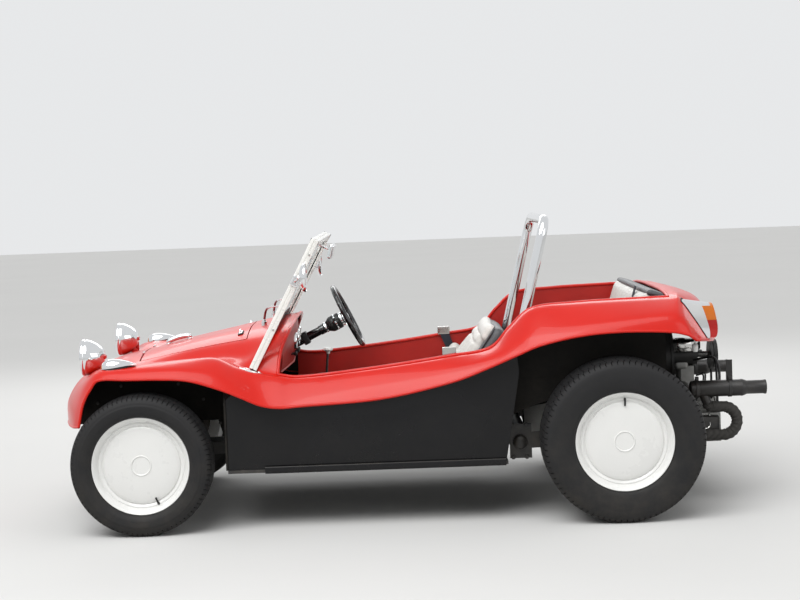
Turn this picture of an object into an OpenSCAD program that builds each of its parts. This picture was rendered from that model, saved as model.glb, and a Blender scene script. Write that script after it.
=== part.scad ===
// Short-wheelbase dune buggy: open moulded body on a rear-engined platform.
// +X is forward, +Y is the car's left and +Z is up. Millimetres.
// Inside the modules X = 0 is the front axle; place() moves it to the centre of the length.

/* [Overall] */
// Distance between the front and rear axles
wheelbase = 2032; // [1980:4:2080]
// Width of the bodywork across the rear fender lips
body_width = 1552; // [1530:2:1570]
// Thickness of the moulded body skin
skin_t = 6; // [5:0.5:8]
// Front edge of the nose ahead of the front axle
nose_reach = 400; // [390:1:420]
// End of the silencer tips behind the rear axle
tip_reach = 668; // [640:1:690]

/* [Wheels] */
// Front track, between the tyre centres
front_track = 1340; // [1330:2:1350]
// Rear track, between the tyre centres
rear_track = 1432; // [1426:2:1440]
// Radius of the front tyre
front_tyre_r = 300; // [290:1:305]
// Width of the front tyre
front_tyre_w = 200; // [185:1:206]
// Radius of the rear tyre
rear_tyre_r = 342; // [330:1:350]
// Width of the rear tyre
rear_tyre_w = 256; // [240:1:264]
// Radius over the rim flanges
rim_r = 207; // [200:1:212]
// Width over the front rim flanges
front_rim_w = 152; // [140:1:156]
// Width over the rear rim flanges
rear_rim_w = 216; // [205:1:220]
// Radius of the stub axles that the wheels turn on
spindle_r = 17; // [14:0.5:20]
// Radial running clearance of the wheels on their axles
run_gap = 0.05; // [0.02:0.01:0.1]
// Radius of the brake drums
drum_r = 125; // [115:1:135]

/* [Steering] */
// Distance of the kingpin inboard of the tyre centre
kingpin_inset = 70; // [60:1:80]
// Length of the steering arms and of the drop arm
steer_arm = 130; // [115:1:140]
// Diameter of the steering wheel over its rim
wheel_d = 330; // [300:5:360]
// Thickness of the steering wheel's rim
wheel_grip = 25; // [20:1:30]
// Slope of the steering column above level
column_tilt = 26; // [22:0.5:30]

/* [Windshield] */
// Lean of the windshield from upright
ws_lean = 28; // [25:0.2:31]
// Height of the windshield's top edge above the ground
ws_top = 1222; // [1180:1:1260]
// Depth of the frame channel, front to back
ws_depth = 34; // [28:1:44]
// Width of the frame channel, seen from the front
ws_bar = 26; // [20:1:32]
// Thickness of the glass
glass_t = 6; // [4:0.5:8]

/* [Roll bar] */
// Radius of the roll bar tube
hoop_r = 22; // [19:0.5:25]
// Height of the roll bar's top above the ground
hoop_top = 1290; // [1240:1:1330]
// Lean of the roll bar from upright
hoop_lean = 14; // [10:0.5:16]
// Half width of the roll bar between its tube centres
hoop_half_w = 420; // [400:1:440]

/* [Floor] */
// Height of the floor pan's underside
floor_z = 245; // [235:1:255]
// Thickness of the floor pan
floor_t = 14; // [10:1:20]
// Height of the rear shelf above the ground
shelf_z = 590; // [570:1:610]

/* [Hidden] */
$fn = 64;
eps = 0.01;
seat_gap = 0.3;
front_z = front_tyre_r;
rear_z = rear_tyre_r;
rear_x = -wheelbase;
x_mid = (nose_reach + rear_x - tip_reach) / 2;
width_k = body_width / 1552;
kingpin_y = front_track / 2 - kingpin_inset;

// ---------- helpers ----------

module place() {
    translate([-x_mid, 0, 0]) children();
}

module both_sides() {
    children();
    mirror([0, 1, 0]) children();
}

// straight round bar from a to b
module rod(a, b, r) {
    d = b - a;
    translate(a) rotate([0, acos(d[2] / norm(d)), atan2(d[1], d[0])]) cylinder(h = norm(d), r = r);
}

// round bar along Y from y0 to y1
module cross_rod(x, z, y0, y1, r) {
    translate([x, y0, z]) rotate([-90, 0, 0]) cylinder(h = y1 - y0, r = r);
}

// plate in the X-Z plane from y0 to y1
module side_plate(points, y0, y1) {
    translate([0, y1, 0]) rotate([90, 0, 0]) linear_extrude(y1 - y0) polygon(points);
}

// plate in the Y-Z plane from x0 to x1
module cross_plate(points, x0, x1) {
    translate([x0, 0, 0]) rotate([90, 0, 90]) linear_extrude(x1 - x0) polygon(points);
}

// block between two corners
module block(a, b) {
    translate(a) cube(b - a);
}

// soft block with rounded edges between two corners
module pillow(a, b, r) {
    hull()
        for (x = [a[0] + r, b[0] - r], y = [a[1] + r, b[1] - r], z = [a[2] + r, b[2] - r])
            translate([x, y, z]) sphere(r = r / cos(180 / 16), $fn = 16);
}

// ---------- body surface ----------
// The skin is a smooth surface through a net of guide points. Each station lists eight points [x, y, z]
// from the centreline to the fender lip: crown, hood, hood edge, valley, inner rail, top, crease, lip.
// X counts from the front axle in front stations and from the rear axle in rear ones.

function rear(x) = rear_x + x;
function middle(f) = -560 + f * (rear_x + 547 + 560);
// X of the windshield's plane at height z
function ws_x(z) = -478 - (z - 684) * tan(ws_lean);

stations = [
    [[nose_reach - 7.3, 0, 450], [389, 180, 450], [378, 330, 452], [358, 430, 455],
     [335, 530, 460], [312, 610, 464], [286, 680, 468], [257, 730, 474]],
    [[nose_reach - 3.3, 0, 545], [391, 175, 545], [375, 325, 545], [352, 430, 548],
     [326, 530, 552], [298, 610, 556], [266, 680, 562], [236, 728, 568]],
    [[340, 0, 632], [335, 170, 630], [318, 320, 628], [297, 430, 630],
     [278, 525, 640], [252, 608, 648], [224, 680, 650], [198, 728, 637]],
    [[215, 0, 690], [212, 165, 686], [203, 310, 674], [196, 420, 672],
     [188, 515, 690], [178, 605, 704], [166, 688, 700], [158, 730, 672]],
    [[60, 0, 728], [60, 165, 722], [55, 308, 702], [50, 412, 684],
     [45, 510, 702], [42, 605, 716], [40, 690, 706], [40, 732, 669]],
    [[-90, 0, 762], [-90, 168, 756], [-92, 310, 730], [-95, 405, 694],
     [-95, 505, 712], [-95, 605, 725], [-95, 690, 707], [-95, 732, 666]],
    [[-210, 0, 787], [-210, 175, 781], [-210, 315, 752], [-210, 408, 703],
     [-208, 508, 720], [-205, 605, 731], [-208, 690, 702], [-212, 732, 656]],
    [[-330, 0, 810], [-330, 185, 804], [-330, 338, 772], [-328, 432, 716],
     [-322, 520, 720], [-318, 605, 730], [-325, 690, 678], [-335, 732, 618]],
    [[-440, 0, 832], [-440, 200, 826], [-436, 372, 790], [-432, 474, 722],
     [-412, 550, 694], [-405, 620, 686], [-420, 688, 628], [-432, 728, 577]],
    [[ws_x(856), 0, 856], [ws_x(850), 215, 850], [ws_x(816), 400, 816], [ws_x(744), 505, 744],
     [ws_x(672), 570, 672], [-486, 622, 662], [-500, 682, 590], [-512, 720, 540]],
    [[-640, 0, 866], [-640, 225, 859], [-624, 414, 824], [-592, 516, 746],
     [-580, 570, 650], [-580, 620, 643], [-585, 678, 577], [-590, 714, 525]],
    [[-720, 0, 872], [-720, 230, 866], [-710, 420, 830], [-700, 520, 746],
     [middle(0.15), 570, 638], [middle(0.15), 618, 632], [middle(0.15), 672, 578], [middle(0.15), 706, 529]],
    [[-1020, 0, 880], [-1020, 230, 874], [-1020, 420, 840], [-1020, 520, 760],
     [middle(0.5), 570, 667], [middle(0.5), 616, 660], [middle(0.5), 670, 607], [middle(0.5), 702, 547]],
    [[-1315, 0, 890], [-1315, 230, 884], [-1315, 420, 850], [-1315, 520, 780],
     [middle(0.82), 570, 704], [middle(0.82), 616, 697], [middle(0.82), 674, 656], [middle(0.82), 706, 606]],
    [[rear(547), 0, 900], [rear(547), 230, 894], [rear(547), 420, 870], [rear(547), 520, 810],
     [rear(540), 570, 732], [rear(545), 618, 726], [rear(550), 682, 702], [rear(550), 716, 664]],
    [[rear(440), 0, 915], [rear(440), 230, 912], [rear(440), 420, 890], [rear(440), 520, 860],
     [rear(450), 570, 820], [rear(450), 620, 812], [rear(446), 698, 752], [rear(438), 734, 711]],
    [[rear(340), 0, 930], [rear(340), 230, 928], [rear(340), 420, 915], [rear(340), 520, 905],
     [rear(352), 570, 897], [rear(350), 626, 888], [rear(345), 718, 806], [rear(330), 754, 754]],
    [[rear(170), 0, 940], [rear(170), 230, 940], [rear(170), 420, 930], [rear(170), 520, 920],
     [rear(170), 570, 914], [rear(170), 634, 903], [rear(170), 738, 832], [rear(168), 770, 788]],
    [[rear(0), 0, 945], [rear(0), 230, 945], [rear(0), 420, 938], [rear(0), 520, 928],
     [rear(0), 570, 920], [rear(0), 636, 909], [rear(0), 744, 848], [rear(0), 776, 800]],
    [[rear(-238), 0, 944], [rear(-238), 200, 944], [rear(-236), 380, 940], [rear(-234), 500, 932],
     [rear(-230), 570, 924], [rear(-222), 634, 912], [rear(-205), 742, 860], [rear(-196), 774, 793]],
    [[rear(-325), 0, 932], [rear(-323), 200, 932], [rear(-314), 380, 930], [rear(-300), 500, 926],
     [rear(-284), 570, 920], [rear(-273), 632, 910], [rear(-266), 736, 846], [rear(-276), 770, 778]],
    [[rear(-420), 0, 895], [rear(-412), 200, 895], [rear(-392), 380, 890], [rear(-364), 500, 872],
     [rear(-344), 570, 850], [rear(-330), 630, 834], [rear(-308), 730, 792], [rear(-300), 766, 766]],
    [[rear(-487), 0, 800], [rear(-472), 200, 800], [rear(-442), 380, 796], [rear(-412), 500, 786],
     [rear(-388), 570, 776], [rear(-370), 632, 770], [rear(-330), 726, 764], [rear(-312), 762, 757]],
    [[rear(-503), 0, 715], [rear(-487), 200, 715], [rear(-457), 380, 718], [rear(-430), 500, 725],
     [rear(-409), 575, 733], [rear(-388), 640, 739], [rear(-344), 724, 748], [rear(-318), 758, 751]]
];
RAILS = 7;
S_WS = 9;
S_SCUTTLE = 10;
S_SIDE = 11;
S_TAIL = 19;
S_END = len(stations) - 1;

function lerp(a, b, t) = a + (b - a) * t;
function clip(i, n) = max(0, min(n, i));
function curve4(a, b, c, d, t) =
    0.5 * (2 * b + (c - a) * t + (2 * a - 5 * b + 4 * c - d) * t * t + (3 * b - a - 3 * c + d) * t * t * t);
function along(v, u) = let(n = len(v) - 1, i = clip(floor(u), n - 1))
    curve4(v[clip(i - 1, n)], v[i], v[i + 1], v[clip(i + 2, n)], u - i);
// guide point of rail j, which is negative on the car's right
function guide(s, j) = let(p = stations[s][min(RAILS, abs(j))]) [p[0], sign(j) * p[1] * width_k, p[2]];
function rail_at(s, v) = let(i = clip(floor(v + RAILS), 2 * RAILS - 1) - RAILS)
    curve4(guide(s, i - 1), guide(s, i), guide(s, i + 1), guide(s, i + 2), v - i);
function column_at(v) = [for (s = [0:S_END]) rail_at(s, v)];
function skin_at(u, v) = along(column_at(v), u);

// u at which a column of guide points passes X = x, between u = a and u = b
function u_at_x(c, x, a, b, n = 20) = n == 0 ? a : let(m = (a + b) / 2)
    along(c, m)[0] > x ? u_at_x(c, x, m, b, n - 1) : u_at_x(c, x, a, m, n - 1);
// point of the skin on rail v at X = x
function skin_on(x, v, a = 2, b = S_END - 3) = let(c = column_at(v)) along(c, u_at_x(c, x, a, b));

// grid of surface points over lists of u and v
function skin_grid(us, vs) = let(cols = [for (v = vs) let(c = column_at(v)) [for (u = us) along(c, u)]])
    [for (i = [0:len(us) - 1]) [for (j = [0:len(vs) - 1]) cols[j][i]]];
function unit(v) = v / norm(v);
function grid_normal(g, i, j) = let(
        a = g[clip(i + 1, len(g) - 1)][j] - g[clip(i - 1, len(g) - 1)][j],
        b = g[i][clip(j + 1, len(g[0]) - 1)] - g[i][clip(j - 1, len(g[0]) - 1)])
    unit(cross(b, a));
function steps(a, b, n) = [for (k = [0:n]) lerp(a, b, k / n)];

// closed shell of thickness t under the cells (i, j) of a grid for which on(i, j) holds
module shell(g, inner, on) {
    m = len(g);
    n = len(g[0]);
    top = [for (r = g) for (p = r) p];
    low = [for (r = inner) for (p = r) p];
    o = m * n;
    function has(i, j) = i >= 0 && j >= 0 && i < m - 1 && j < n - 1 && on(i, j);
    // the same diagonal on both sides of a seam
    function wall(p, q) = p < q ? [[p, q, o + q], [p, o + q, o + p]] : [[p, q, o + p], [q, o + q, o + p]];
    faces = [for (i = [0:m - 2]) for (j = [0:n - 2]) if (has(i, j))
        let(a = i * n + j, b = a + 1, c = a + n, d = c + 1)
        each concat(
            [[a, c, d], [a, d, b], [o + a, o + d, o + c], [o + a, o + b, o + d]],
            has(i - 1, j) ? [] : wall(a, b),
            has(i, j + 1) ? [] : wall(b, d),
            has(i + 1, j) ? [] : wall(d, c),
            has(i, j - 1) ? [] : wall(c, a))];
    polyhedron(points = concat(top, low), faces = faces, convexity = 8);
}

U_STEP = 3;
V_STEP = 2;
all_u = steps(0, S_END, S_END * U_STEP);
all_v = steps(-RAILS, RAILS, 2 * RAILS * V_STEP);
body_grid = skin_grid(all_u, all_v);
body_inner = [for (i = [0:len(all_u) - 1]) [for (j = [0:len(all_v) - 1])
    body_grid[i][j] - skin_t * grid_normal(body_grid, i, j)]];

// part of the body grid between stations u0 and u1 and rails v0 and v1
module body_part(u0, u1, v0, v1, on) {
    iu = [for (i = [0:len(all_u) - 1]) if (all_u[i] >= u0 - eps && all_u[i] <= u1 + eps) i];
    jv = [for (j = [0:len(all_v) - 1]) if (all_v[j] >= v0 - eps && all_v[j] <= v1 + eps) j];
    shell([for (i = iu) [for (j = jv) body_grid[i][j]]],
        [for (i = iu) [for (j = jv) body_inner[i][j]]],
        function(i, j) on((all_u[iu[i]] + all_u[iu[i] + 1]) / 2, (all_v[jv[j]] + all_v[jv[j] + 1]) / 2));
}

// ---------- bodywork ----------
hood_u0 = 4;
hood_u1 = 8;
hood_v = 2;
hood_gap = 6;
function in_hood(u, v) = u > hood_u0 && u < hood_u1 && abs(v) < hood_v;
function in_cockpit(u, v) = u > S_SCUTTLE && u < S_TAIL && abs(v) < 4;

module front_body() {
    color("red") place()
        body_part(0, S_SIDE, -RAILS, RAILS, function(u, v) !in_hood(u, v) && !in_cockpit(u, v));
}

module body_side(side) {
    color("red") place()
        body_part(S_SIDE, S_TAIL, side > 0 ? 4 : -RAILS, side > 0 ? RAILS : -4, function(u, v) true);
}

module rear_body() {
    color("red") place()
        body_part(S_TAIL, S_END, -RAILS, RAILS, function(u, v) true);
}

// the hood's hinge axis lies just above the seam at its front edge
hinge_r = 5;
hinge_seam = skin_at(hood_u0, 1);
hinge_at = [hinge_seam[0] - hood_gap / 2, hinge_seam[2] + hinge_r + 0.5];
module hood() {
    du = hood_gap / 140;
    dv = hood_gap / 150;
    us = steps(hood_u0 + du, hood_u1 - du, 12);
    vs = steps(-hood_v + dv, hood_v - dv, 10);
    g = skin_grid(us, vs);
    low = [for (i = [0:len(us) - 1]) [for (j = [0:len(vs) - 1]) g[i][j] - skin_t * grid_normal(g, i, j)]];
    color("red") place() {
        shell(g, low, function(i, j) true);
        both_sides() cross_rod(hinge_at[0], hinge_at[1], 140 * width_k, 190 * width_k, hinge_r);
    }
}

wall_y0 = 560;
wall_y1 = 568;
panel_y1 = 688;
panel_front_x = -362;
panel_rear_x = rear_x + 489;
riser_x = rear_x + 480;
floor_top = floor_z + floor_t;
tunnel_y = 75;
tunnel_top = floor_top + 120;
sheet_t = 8;
// gap left between the skin's inner face and the walls that carry it
under_skin = 1;

// height just under the skin on rail v at X = x
function under(x, v, d = under_skin) = min([for (e = [-6, 0, 6]) skin_on(x + e, v)[2]]) - skin_t - d;

// cockpit side: inner wall up to the rim, and the black outer panel under the belt
module side_panel(side) {
    inner = concat([[-596, floor_top]], [for (x = [-596:-60:riser_x]) [x, under(x, 4, 3)]],
        [[riser_x + sheet_t, under(riser_x + sheet_t, 4, 3)], [riser_x + sheet_t, floor_top]]);
    outer = concat([[panel_front_x, floor_top], [panel_front_x, 560]],
        [for (x = [panel_front_x - 40:-60:rear_x + 430]) [x, skin_on(x, 7)[2] - 3]],
        [[rear_x + 422, 640], [panel_rear_x, floor_top]]);
    color([0.05, 0.05, 0.05]) place() scale([1, side, 1]) {
        side_plate(inner, wall_y0, wall_y1);
        side_plate(outer, wall_y1, panel_y1);
    }
}

module floor_pan() {
    color([0.1, 0.1, 0.1]) place() {
        block([riser_x, -panel_y1, floor_z], [panel_front_x, panel_y1, floor_top]);
        both_sides() block([panel_rear_x, panel_y1, floor_z - 2], [-520, panel_y1 + 8, floor_z + 26]);
        // centre tunnel, welded to the torsion tube
        difference() {
            side_plate([[torsion_x + 20, floor_z + 20], [panel_front_x - 1, floor_z + 1],
                [panel_front_x - 1, floor_top + 40], [-700, tunnel_top], [torsion_x + 20, tunnel_top]],
                -tunnel_y, tunnel_y);
            cross_rod(torsion_x, torsion_z, -tunnel_y - 1, tunnel_y + 1, torsion_r + 0.2);
        }
        // frame head reaching to the axle beam
        side_plate([[panel_front_x - 10, floor_z], [panel_front_x - 10, floor_top + 40],
            [beam_x - 30.3, front_z - 10], [beam_x - 30.3, front_z - 70]], -90, 90);
    }
}

nose_y = 385;
nose_floor_z = 440;
toe_x = -296;
module front_tub() {
    color([0.08, 0.08, 0.08]) place() {
        // nose floor and toe board
        side_plate([[325, nose_floor_z], [toe_x, nose_floor_z], [-404, floor_top + 61], [-412, floor_top + 61],
            [toe_x - 6, nose_floor_z + sheet_t], [325, nose_floor_z + sheet_t]], -nose_y, nose_y);
        // bulkhead behind the front compartment
        cross_plate(concat([[nose_y, nose_floor_z + 1], [-nose_y, nose_floor_z + 1]],
            [for (v = [-2.4:0.4:2.4]) let(p = skin_on(toe_x - 4, v)) [p[1], p[2] - skin_t - 3]]),
            toe_x - sheet_t, toe_x);
        both_sides() {
            side_plate(concat([[325, nose_floor_z + 1], [325, 600]],
                [for (x = [200:-60:panel_front_x]) [x, under(x, 3, 4)]],
                [[panel_front_x, under(panel_front_x, 3, 4)], [panel_front_x, floor_top], [-345, floor_top],
                [toe_x, nose_floor_z]]), nose_y - 1, nose_y + sheet_t);
            cross_plate([[nose_y + 2, floor_top], [panel_y1, floor_top], [panel_y1, 565], [640, 630],
                [500, 680], [nose_y + 2, 690]], panel_front_x, panel_front_x + sheet_t);
        }
    }
}

// the rear bulkhead leans back behind the seat
bulk_foot = [rear_x - 130, shelf_z];
bulk_top = [rear_x - 226, 905];
bulk_lean = atan((bulk_foot[0] - bulk_top[0]) / (bulk_top[1] - bulk_foot[1] - sheet_t));
module rear_tub() {
    color("darkred") place() {
        difference() {
            side_plate([[riser_x, floor_top], [riser_x, shelf_z], bulk_foot, bulk_top,
                bulk_top + [sheet_t, 0], bulk_foot + [sheet_t, sheet_t], [riser_x + sheet_t, shelf_z + sheet_t],
                [riser_x + sheet_t, floor_top]], -wall_y0, wall_y0);
            block([riser_x - 1, -tunnel_y, floor_top - 1], [riser_x + sheet_t + 1, tunnel_y, tunnel_top]);
        }
        both_sides()
            side_plate(concat([[riser_x + 2, shelf_z - 160]],
                [for (x = [riser_x + 2:-60:bulk_top[0] + 60]) [x, under(x, 4, 3)]],
                [bulk_top + [3, -6], bulk_foot + [3, -40], [rear_x + 200, shelf_z - 60]]),
                wall_y0 - 1, wall_y1);
    }
}

dash_x = -598;
module dashboard() {
    color("red") place() difference() {
        union() {
            cross_plate(concat([[-480, 650], [480, 650]],
                [for (v = [2.6:-0.4:-2.6]) let(p = skin_on(dash_x + 3, v)) [p[1], p[2] - skin_t - 4]]),
                dash_x, dash_x + sheet_t);
            // instrument pods
            for (y = [-200, -95, 95])
                translate([dash_x, y, 762]) rotate([0, -90, 0]) cylinder(h = 34, r = 46);
        }
        rod(wheel_c, wheel_c + 400 * column_dir, column_r + 1);
    }
}

// ---------- windshield ----------
ws_foot_z = 677;
ws_len = (ws_top - ws_foot_z) / cos(ws_lean);
ws_y1 = 578 * width_k;
// places its children in the windshield's plane: x across, y up the slope
module in_windshield() {
    translate([ws_x(ws_foot_z), 0, ws_foot_z]) rotate([0, -ws_lean, 0]) rotate([90, 0, 90]) children();
}
function slope_up(z) = (z - ws_foot_z) / cos(ws_lean);
glass_y = ws_y1 - ws_bar;
// glass edge along the cowl, a little above the skin
cowl_line = [for (v = [-3.6:0.4:3.6]) let(p = rail_at(S_WS, v)) if (abs(p[1]) < glass_y - 4)
    [p[1], slope_up(p[2] + 8)]];

module windshield_frame() {
    color("silver") place() {
        in_windshield() translate([0, 0, -ws_depth / 2]) linear_extrude(ws_depth) polygon([
            [-ws_y1, 0], [-ws_y1, ws_len], [ws_y1, ws_len], [ws_y1, 0], [glass_y, 28],
            [glass_y, ws_len - ws_bar], [-glass_y, ws_len - ws_bar], [-glass_y, 28]]);
    }
}

module windshield_glass() {
    color([0.7, 0.8, 0.85, 0.4]) place() in_windshield() translate([0, 0, -glass_t / 2]) linear_extrude(glass_t)
        polygon(concat([[-glass_y, slope_up(720)]], cowl_line, [[glass_y, slope_up(720)],
            [glass_y, ws_len - ws_bar], [-glass_y, ws_len - ws_bar]]));
}

// ---------- roll bar ----------
module roll_bar() {
    bend = 80;
    foot_x = rear_x + 440;
    foot_z = shelf_z + sheet_t;
    splay = 40;
    rise = (hoop_top - hoop_r - foot_z) / cos(hoop_lean);
    color("silver") place() {
        translate([foot_x, 0, foot_z]) rotate([0, -hoop_lean, 0]) {
            cross_rod(0, rise, -hoop_half_w + bend, hoop_half_w - bend, hoop_r);
            both_sides() {
                translate([0, hoop_half_w - bend, rise - bend]) rotate([90, 0, 90])
                    rotate_extrude(angle = 90) translate([bend, 0]) circle(r = hoop_r);
                rod([0, hoop_half_w + splay, 8], [0, hoop_half_w, rise - bend], hoop_r);
                translate([0, hoop_half_w, rise - bend]) sphere(r = hoop_r + 0.5);
            }
        }
        both_sides() translate([foot_x, hoop_half_w + splay, foot_z]) cylinder(h = 10, r = 52);
    }
}

// ---------- seats ----------
seat_x = -1180;
seat_y = 315;
squab_h = 170;
back_l = 610;
back_t = 107;
module seat(side, recline, slide) {
    color("white") place() translate([seat_x + slide, side * seat_y, floor_top + seat_gap]) {
        pillow([-140, -230, 0], [290, 230, squab_h], 40);
        translate([32, 0, squab_h / 2]) rotate([0, -recline, 0]) {
            pillow([-back_t, -230, -40], [0, 230, back_l], 45);
            for (s = [-1, 1]) translate([0, s * 196, 0]) pillow([-60, -34, 0], [46, 34, 400], 30);
        }
    }
}

module rear_seat() {
    color("white") place() {
        pillow([bulk_foot[0] + 30, -500, shelf_z + sheet_t + seat_gap], [rear_x + 330, 500, shelf_z + 130], 40);
        translate([bulk_foot[0] + sheet_t, 0, shelf_z + sheet_t]) rotate([0, -bulk_lean, 0])
            pillow([seat_gap, -530, 135], [96, 530, 352], 30);
    }
}

// ---------- driver's controls ----------
wheel_c = [-858, -300, 828];
column_r = 21;
column_dir = [cos(column_tilt), 0, -sin(column_tilt)];
hub_drop = 40;
module steering_column() {
    color("silver") place() {
        rod(wheel_c + (hub_drop + 0.3) * column_dir, wheel_c + (toe_x - sheet_t - 14 - wheel_c[0])
            / column_dir[0] * column_dir, column_r);
        rod(wheel_c + (hub_drop + 6) * column_dir, wheel_c + (hub_drop + 80) * column_dir, 38);
    }
}

module steering_wheel() {
    color([0.05, 0.05, 0.05]) place() translate(wheel_c) rotate([0, column_tilt - 90, 0]) {
        rotate_extrude() translate([wheel_d / 2 - wheel_grip / 2, 0]) circle(r = wheel_grip / 2);
        translate([0, 0, -hub_drop]) cylinder(h = hub_drop + 4, r = 34);
        for (a = [90, 210, 330])
            rotate([0, 0, a]) translate([25, -14, -5]) cube([wheel_d / 2 - wheel_grip - 20, 28, 5]);
    }
}

module driver_controls() {
    color([0.05, 0.05, 0.05]) place() {
        translate([-744, 0, tunnel_top]) cylinder(h = 12, r = 34);
        rod([-744, 0, tunnel_top + 6], [-774, 0, 690], 7);
        translate([-775, 0, 696]) sphere(r = 20);
        // handbrake
        block([-1020, -22, tunnel_top], [-960, 22, tunnel_top + 20]);
        rod([-990, 0, tunnel_top + 16], [-840, 0, tunnel_top + 80], 11);
        // pedals on their cross shaft
        cross_rod(-450, floor_top + 9, -360, -110, 9);
        for (y = [-330, -250, -160]) {
            rod([-450, y, floor_top + 9], [-400, y, floor_top + 150], 6);
            translate([-402, y, floor_top + 150]) rotate([0, -70, 0]) cylinder(h = 8, r = 28);
        }
    }
}

// ---------- lamps and mirrors ----------
lamp_y = 457 * width_k;
lamp_z = 742;
lamp_x = 262;
module headlights() {
    seat_z = skin_on(lamp_x - 70, 3.35)[2];
    color("silver") place() both_sides() {
        translate([lamp_x + 12, lamp_y, lamp_z]) rotate([0, -90, 0]) rotate_extrude()
            polygon([[0, -14], [40, -10], [60, -4], [73, 0], [80, 3], [80, 13], [77, 27], [70, 46], [58, 68],
                [36, 96], [0, 96]]);
        translate([lamp_x - 70, lamp_y, seat_z + 4.1]) cylinder(h = lamp_z - seat_z - 40, r = 13);
    }
}

module turn_signals() {
    p = skin_on(88, 5.5);
    color("silver") place() both_sides() translate([88, p[1], p[2] - 3]) rotate([0, 3, 0]) intersection() {
        rotate([0, 90, 0]) rotate_extrude()
            polygon([[0, -76], [20, -71], [30, -58], [36, -36], [36, -6], [28, 34], [0, 76]]);
        translate([-100, -40, 4]) cube([200, 80, 40]);
    }
}

// the lamp housings are wedges between the sloping tail and an upright lens
module tail_lamps() {
    us = steps(20.1, 22.6, 8);
    vs = steps(4.25, 5.05, 4);
    g = skin_grid(us, vs);
    seat_face = [for (i = [0:len(us) - 1]) [for (j = [0:len(vs) - 1]) g[i][j] + 0.5 * grid_normal(g, i, j)]];
    lens_face = [for (i = [0:len(us) - 1]) [for (j = [0:len(vs) - 1]) let(p = g[i][j], t = i / 8)
        [min(rear_x - 392 - 18 * sin(160 * t), p[0] - 6), p[1], p[2] - 22 * sin(90 * (1 - t))]]];
    color("silver") place() both_sides() shell(lens_face, seat_face, function(i, j) true);
}

module mirrors() {
    m = [-700, ws_y1 + 68, 1066];
    post_x = ws_x(m[2] - 16);
    color("silver") place() both_sides() {
        translate(m) rotate([0, -90, 0]) cylinder(h = 22, r = 62);
        cross_rod(post_x, m[2] - 16, ws_y1 + 0.2, m[1] + 4, 6);
        rod([post_x, m[1], m[2] - 16], m + [-2, 0, 0], 6);
    }
}

// ---------- running gear ----------
module fuel_tank() {
    color([0.1, 0.1, 0.1]) place()
        pillow([-230, -300, nose_floor_z + sheet_t + seat_gap], [110, 300, 610], 40);
}

beam_x = 140;
beam_y = 444;
arm_z = 75;
module front_axle_beam() {
    color([0.1, 0.1, 0.1]) place() {
        for (s = [-1, 1]) cross_rod(beam_x, front_z + s * arm_z, -beam_y, beam_y, 27);
        both_sides() {
            block([beam_x - 30, 420, front_z - 110], [beam_x + 30, 432, front_z + 120]);
            block([beam_x - 58, 412, front_z + 120], [beam_x + 30, 440, front_z + 130]);
            block([beam_x - 30, 60, front_z - arm_z], [beam_x - 12, 90, front_z + arm_z]);
        }
        // steering box on the driver's side
        translate([0, -300, box_z]) cylinder(h = 46, r = 30);
        block([20, -322, box_z + 2], [beam_x - 10, -278, box_z + 40]);
    }
}

module trailing_arms() {
    color([0.1, 0.1, 0.1]) place() both_sides() for (s = [-1, 1]) {
        z = front_z + s * arm_z;
        cross_rod(beam_x, z, beam_y + 0.3, beam_y + 16, 27);
        rod([beam_x, beam_y + 13, z], [0, kingpin_y - 6, z], 13);
        translate([0, kingpin_y, z - 14]) cylinder(h = 28, r = 20);
    }
}

module shock_absorbers() {
    color([0.12, 0.12, 0.12]) place() both_sides() {
        rod([88, 500, front_z - arm_z + 22], [94.6, 426, front_z + 113], 15);
        rod([rear_x + 78, 533.3, rear_z + 10], [rear_x + 150, 533.3, shelf_z - 20], 22);
    }
}

torsion_x = rear_x + 417;
torsion_z = 313;
torsion_r = 48;
module rear_torsion_tube() {
    color([0.08, 0.08, 0.08]) place() {
        cross_rod(torsion_x, torsion_z, -500, 500, torsion_r);
        both_sides() {
            block([torsion_x - 50, 500, torsion_z - 72], [torsion_x + 45, 516, torsion_z + 77]);
            cross_rod(torsion_x, torsion_z, 515, 530, 31);
            // spring plate to the axle tube
            difference() {
                side_plate([[torsion_x - 49, torsion_z - 30], [torsion_x - 49, torsion_z + 40],
                    [rear_x - 50, rear_z + 48], [rear_x - 50, rear_z - 48]], 505, 511);
                cross_rod(rear_x, rear_z, 504, 512, axle_r + 0.2);
            }
        }
    }
}

axle_r = 36;
module transaxle() {
    color([0.15, 0.15, 0.15]) place() {
        hull() {
            block([rear_x - 169.7, -120, rear_z - 130], [rear_x + 60, 120, rear_z + 110]);
            block([torsion_x - 58, -60, rear_z - 70], [torsion_x - 50, 60, rear_z + 60]);
        }
        both_sides() difference() {
            union() {
                cross_rod(rear_x, rear_z, 118, 540, axle_r);
                cross_rod(rear_x, rear_z, 540, hub_in - 11, 55);
                cross_rod(rear_x, rear_z, hub_in - 12, hub_in - 5, drum_r + 3);
            }
            cross_rod(rear_x, rear_z, hub_in - 67, hub_in, spindle_r + run_gap);
        }
    }
}

// ---------- engine ----------
engine_x = rear_x - 170;
crank_z = rear_z - 10;
fan_z = rear_z + 270;
module engine() {
    color([0.2, 0.2, 0.2]) place() {
        block([engine_x - 325, -125, crank_z - 105], [engine_x, 125, crank_z + 105]);
        both_sides() {
            block([engine_x - 300, 124, crank_z - 55], [engine_x - 40, 360, crank_z + 75]);
            block([engine_x - 305, 360, crank_z - 65], [engine_x - 35, 402, crank_z + 60]);
        }
        translate([engine_x - 324, 0, crank_z]) rotate([0, -90, 0]) cylinder(h = 36, r = 85);
        // generator stand and inlet manifold
        block([engine_x - 255, -32, crank_z + 104], [engine_x - 195, 32, fan_z - 50.3]);
    }
}

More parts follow.
